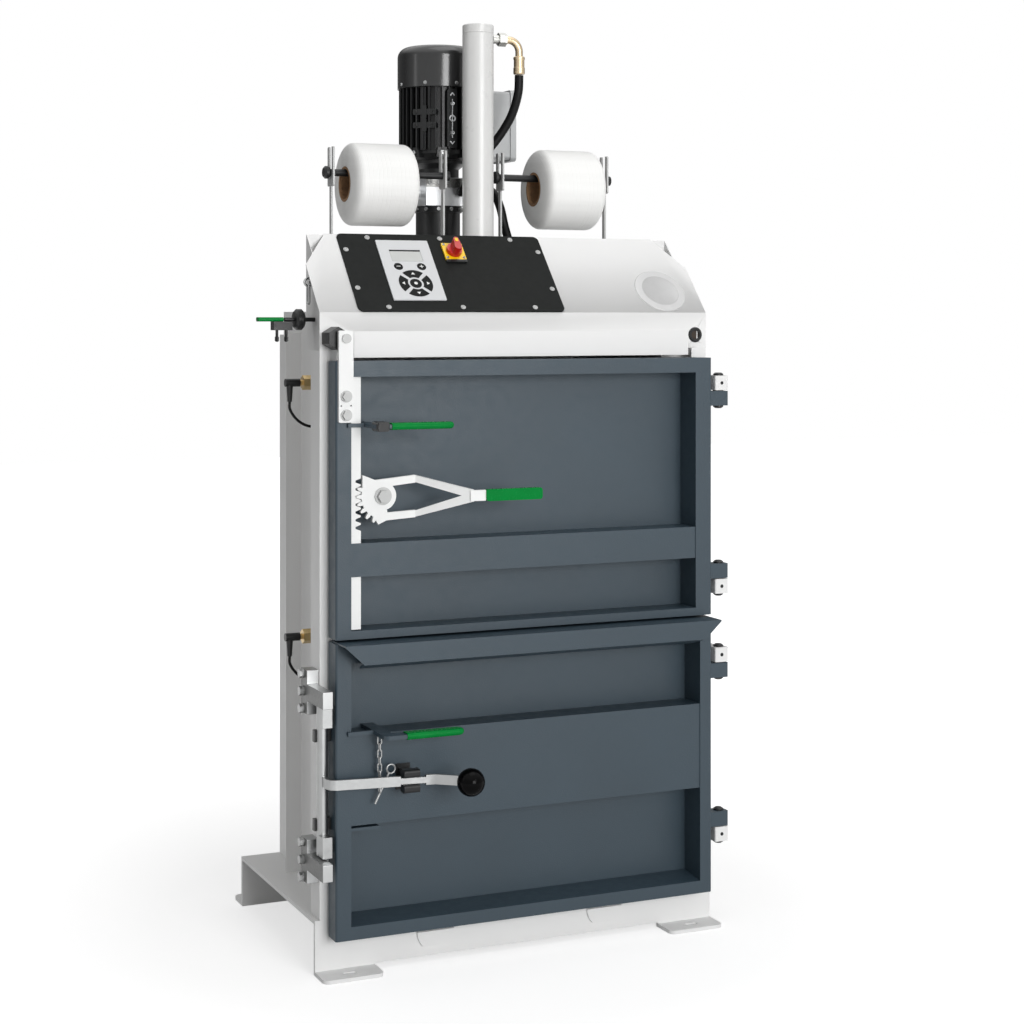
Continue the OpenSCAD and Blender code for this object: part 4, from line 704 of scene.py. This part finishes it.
CAMERA_PLACE = Vector((-1734.5, -4097.0, 1344.6)) * MM
CAMERA_TURN = math.radians(-24.09)
CAMERA_LENS, CAMERA_SENSOR = 69.33, 36.0
CAMERA_SHIFT = -0.191


def add_camera():
    data = bpy.data.cameras.new("camera")
    data.lens = CAMERA_LENS
    data.sensor_width = CAMERA_SENSOR
    data.shift_y = CAMERA_SHIFT
    camera = bpy.data.objects.new("camera", data)
    camera.location = CAMERA_PLACE
    camera.rotation_euler = (math.radians(90), 0, CAMERA_TURN)
    bpy.context.scene.collection.objects.link(camera)
    bpy.context.scene.camera = camera


def add_softbox(name, place, target, width, height, power):
    """A rectangular lamp that faces a target."""
    data = bpy.data.lights.new(name, "AREA")
    data.shape = "RECTANGLE"
    data.size = width
    data.size_y = height
    data.energy = power
    lamp = bpy.data.objects.new(name, data)
    lamp.location = place
    lamp.rotation_euler = (Vector(target) - Vector(place)).to_track_quat("-Z", "Y").to_euler()
    bpy.context.scene.collection.objects.link(lamp)


def is_seen(tree):
    """1 for camera, glossy and transmission rays, 0 for the rays that light the object."""
    path = tree.nodes.new("ShaderNodeLightPath")
    seen = path.outputs["Is Camera Ray"]
    for kind in ("Is Glossy Ray", "Is Transmission Ray"):
        top = tree.nodes.new("ShaderNodeMath")
        top.operation = "MAXIMUM"
        tree.links.new(seen, top.inputs[0])
        tree.links.new(path.outputs[kind], top.inputs[1])
        seen = top.outputs[0]
    return seen


# White of the surroundings: as light, and as reflections see it in front, at the back and above
AMBIENT = 0.34
MIRRORED_FRONT, MIRRORED_BACK, MIRRORED_TOP = 0.9, 0.16, 1.8
BACK_REACH = (-0.1, 0.6)
TOP_REACH = (0.35, 0.75)


def add_world():
    """White behind the machine; in reflections bright above and in front, dark towards the back."""
    world = bpy.data.worlds.new("studio")
    bpy.context.scene.world = world
    world.use_nodes = True
    tree = world.node_tree
    background = tree.nodes["Background"]
    background.inputs["Color"].default_value = (1, 1, 1, 1)
    coords = tree.nodes.new("ShaderNodeTexCoord")
    axes = tree.nodes.new("ShaderNodeSeparateXYZ")
    tree.links.new(coords.outputs["Generated"], axes.inputs["Vector"])
    path = tree.nodes.new("ShaderNodeLightPath")
    around = remap(tree, axes.outputs["Y"], MIRRORED_FRONT, MIRRORED_BACK, *BACK_REACH)
    above = remap(tree, axes.outputs["Z"], 0.0, 1.0, *TOP_REACH)
    mirrored = mix_value(tree, above, around, MIRRORED_TOP)
    strength = mix_value(tree, path.outputs["Is Glossy Ray"], AMBIENT, mirrored)
    strength = mix_value(tree, path.outputs["Is Camera Ray"], strength, 1.0)
    tree.links.new(strength, background.inputs["Strength"])


# Floor: half of its side and its grey, then its glow near the machine and far from it, with the distances
FLOOR_HALF = 14.0
FLOOR_GREY = 0.62
FLOOR_GLOW = (0.62, 1.0)
FLOOR_GLOW_REACH = (0.7, 2.4)


def add_floor():
    """White floor that keeps the soft shadow close to the machine."""
    mesh = bpy.data.meshes.new("floor")
    corners = [(x * FLOOR_HALF, y * FLOOR_HALF, 0) for x, y in ((-1, -1), (1, -1), (1, 1), (-1, 1))]
    mesh.from_pydata(corners, [], [(0, 1, 2, 3)])
    material, tree, shader = principled("floor")
    shader.inputs["Base Color"].default_value = (FLOOR_GREY, FLOOR_GREY, FLOOR_GREY, 1)
    shader.inputs["Roughness"].default_value = 0.9
    shader.inputs["Specular IOR Level"].default_value = 0.0
    shader.inputs["Emission Color"].default_value = (1, 1, 1, 1)
    reach = tree.nodes.new("ShaderNodeVectorMath")
    reach.operation = "LENGTH"
    tree.links.new(position(tree), reach.inputs[0])
    glow = tree.nodes.new("ShaderNodeMath")
    glow.operation = "MULTIPLY"
    tree.links.new(is_seen(tree), glow.inputs[0])
    tree.links.new(remap(tree, reach.outputs["Value"], *FLOOR_GLOW, *FLOOR_GLOW_REACH), glow.inputs[1])
    tree.links.new(glow.outputs[0], shader.inputs["Emission Strength"])
    mesh.materials.append(material)
    floor = bpy.data.objects.new("floor", mesh)
    bpy.context.scene.collection.objects.link(floor)


# Softboxes: place and target in metres, width, height and power in watts
SOFTBOXES = {
    "front_softbox": ((0.4, -7.6, 2.0), (0, -0.2, 0.8), 3.0, 2.6, 306),
    "top_softbox": ((0.2, -0.9, 4.4), (0, -0.1, 1.0), 2.6, 2.0, 26),
    "left_strip": ((-4.4, 0.0, 2.2), (0, 0, 1.7), 0.4, 2.0, 5),
    "right_strip": ((1.5, -4.4, 2.4), (0, 0, 1.7), 0.3, 2.0, 13),
}

add_camera()
add_world()
add_floor()
for name, (place, target, width, height, power) in SOFTBOXES.items():
    add_softbox(name, place, target, width, height, power)
bpy.context.scene.view_settings.view_transform = "Standard"
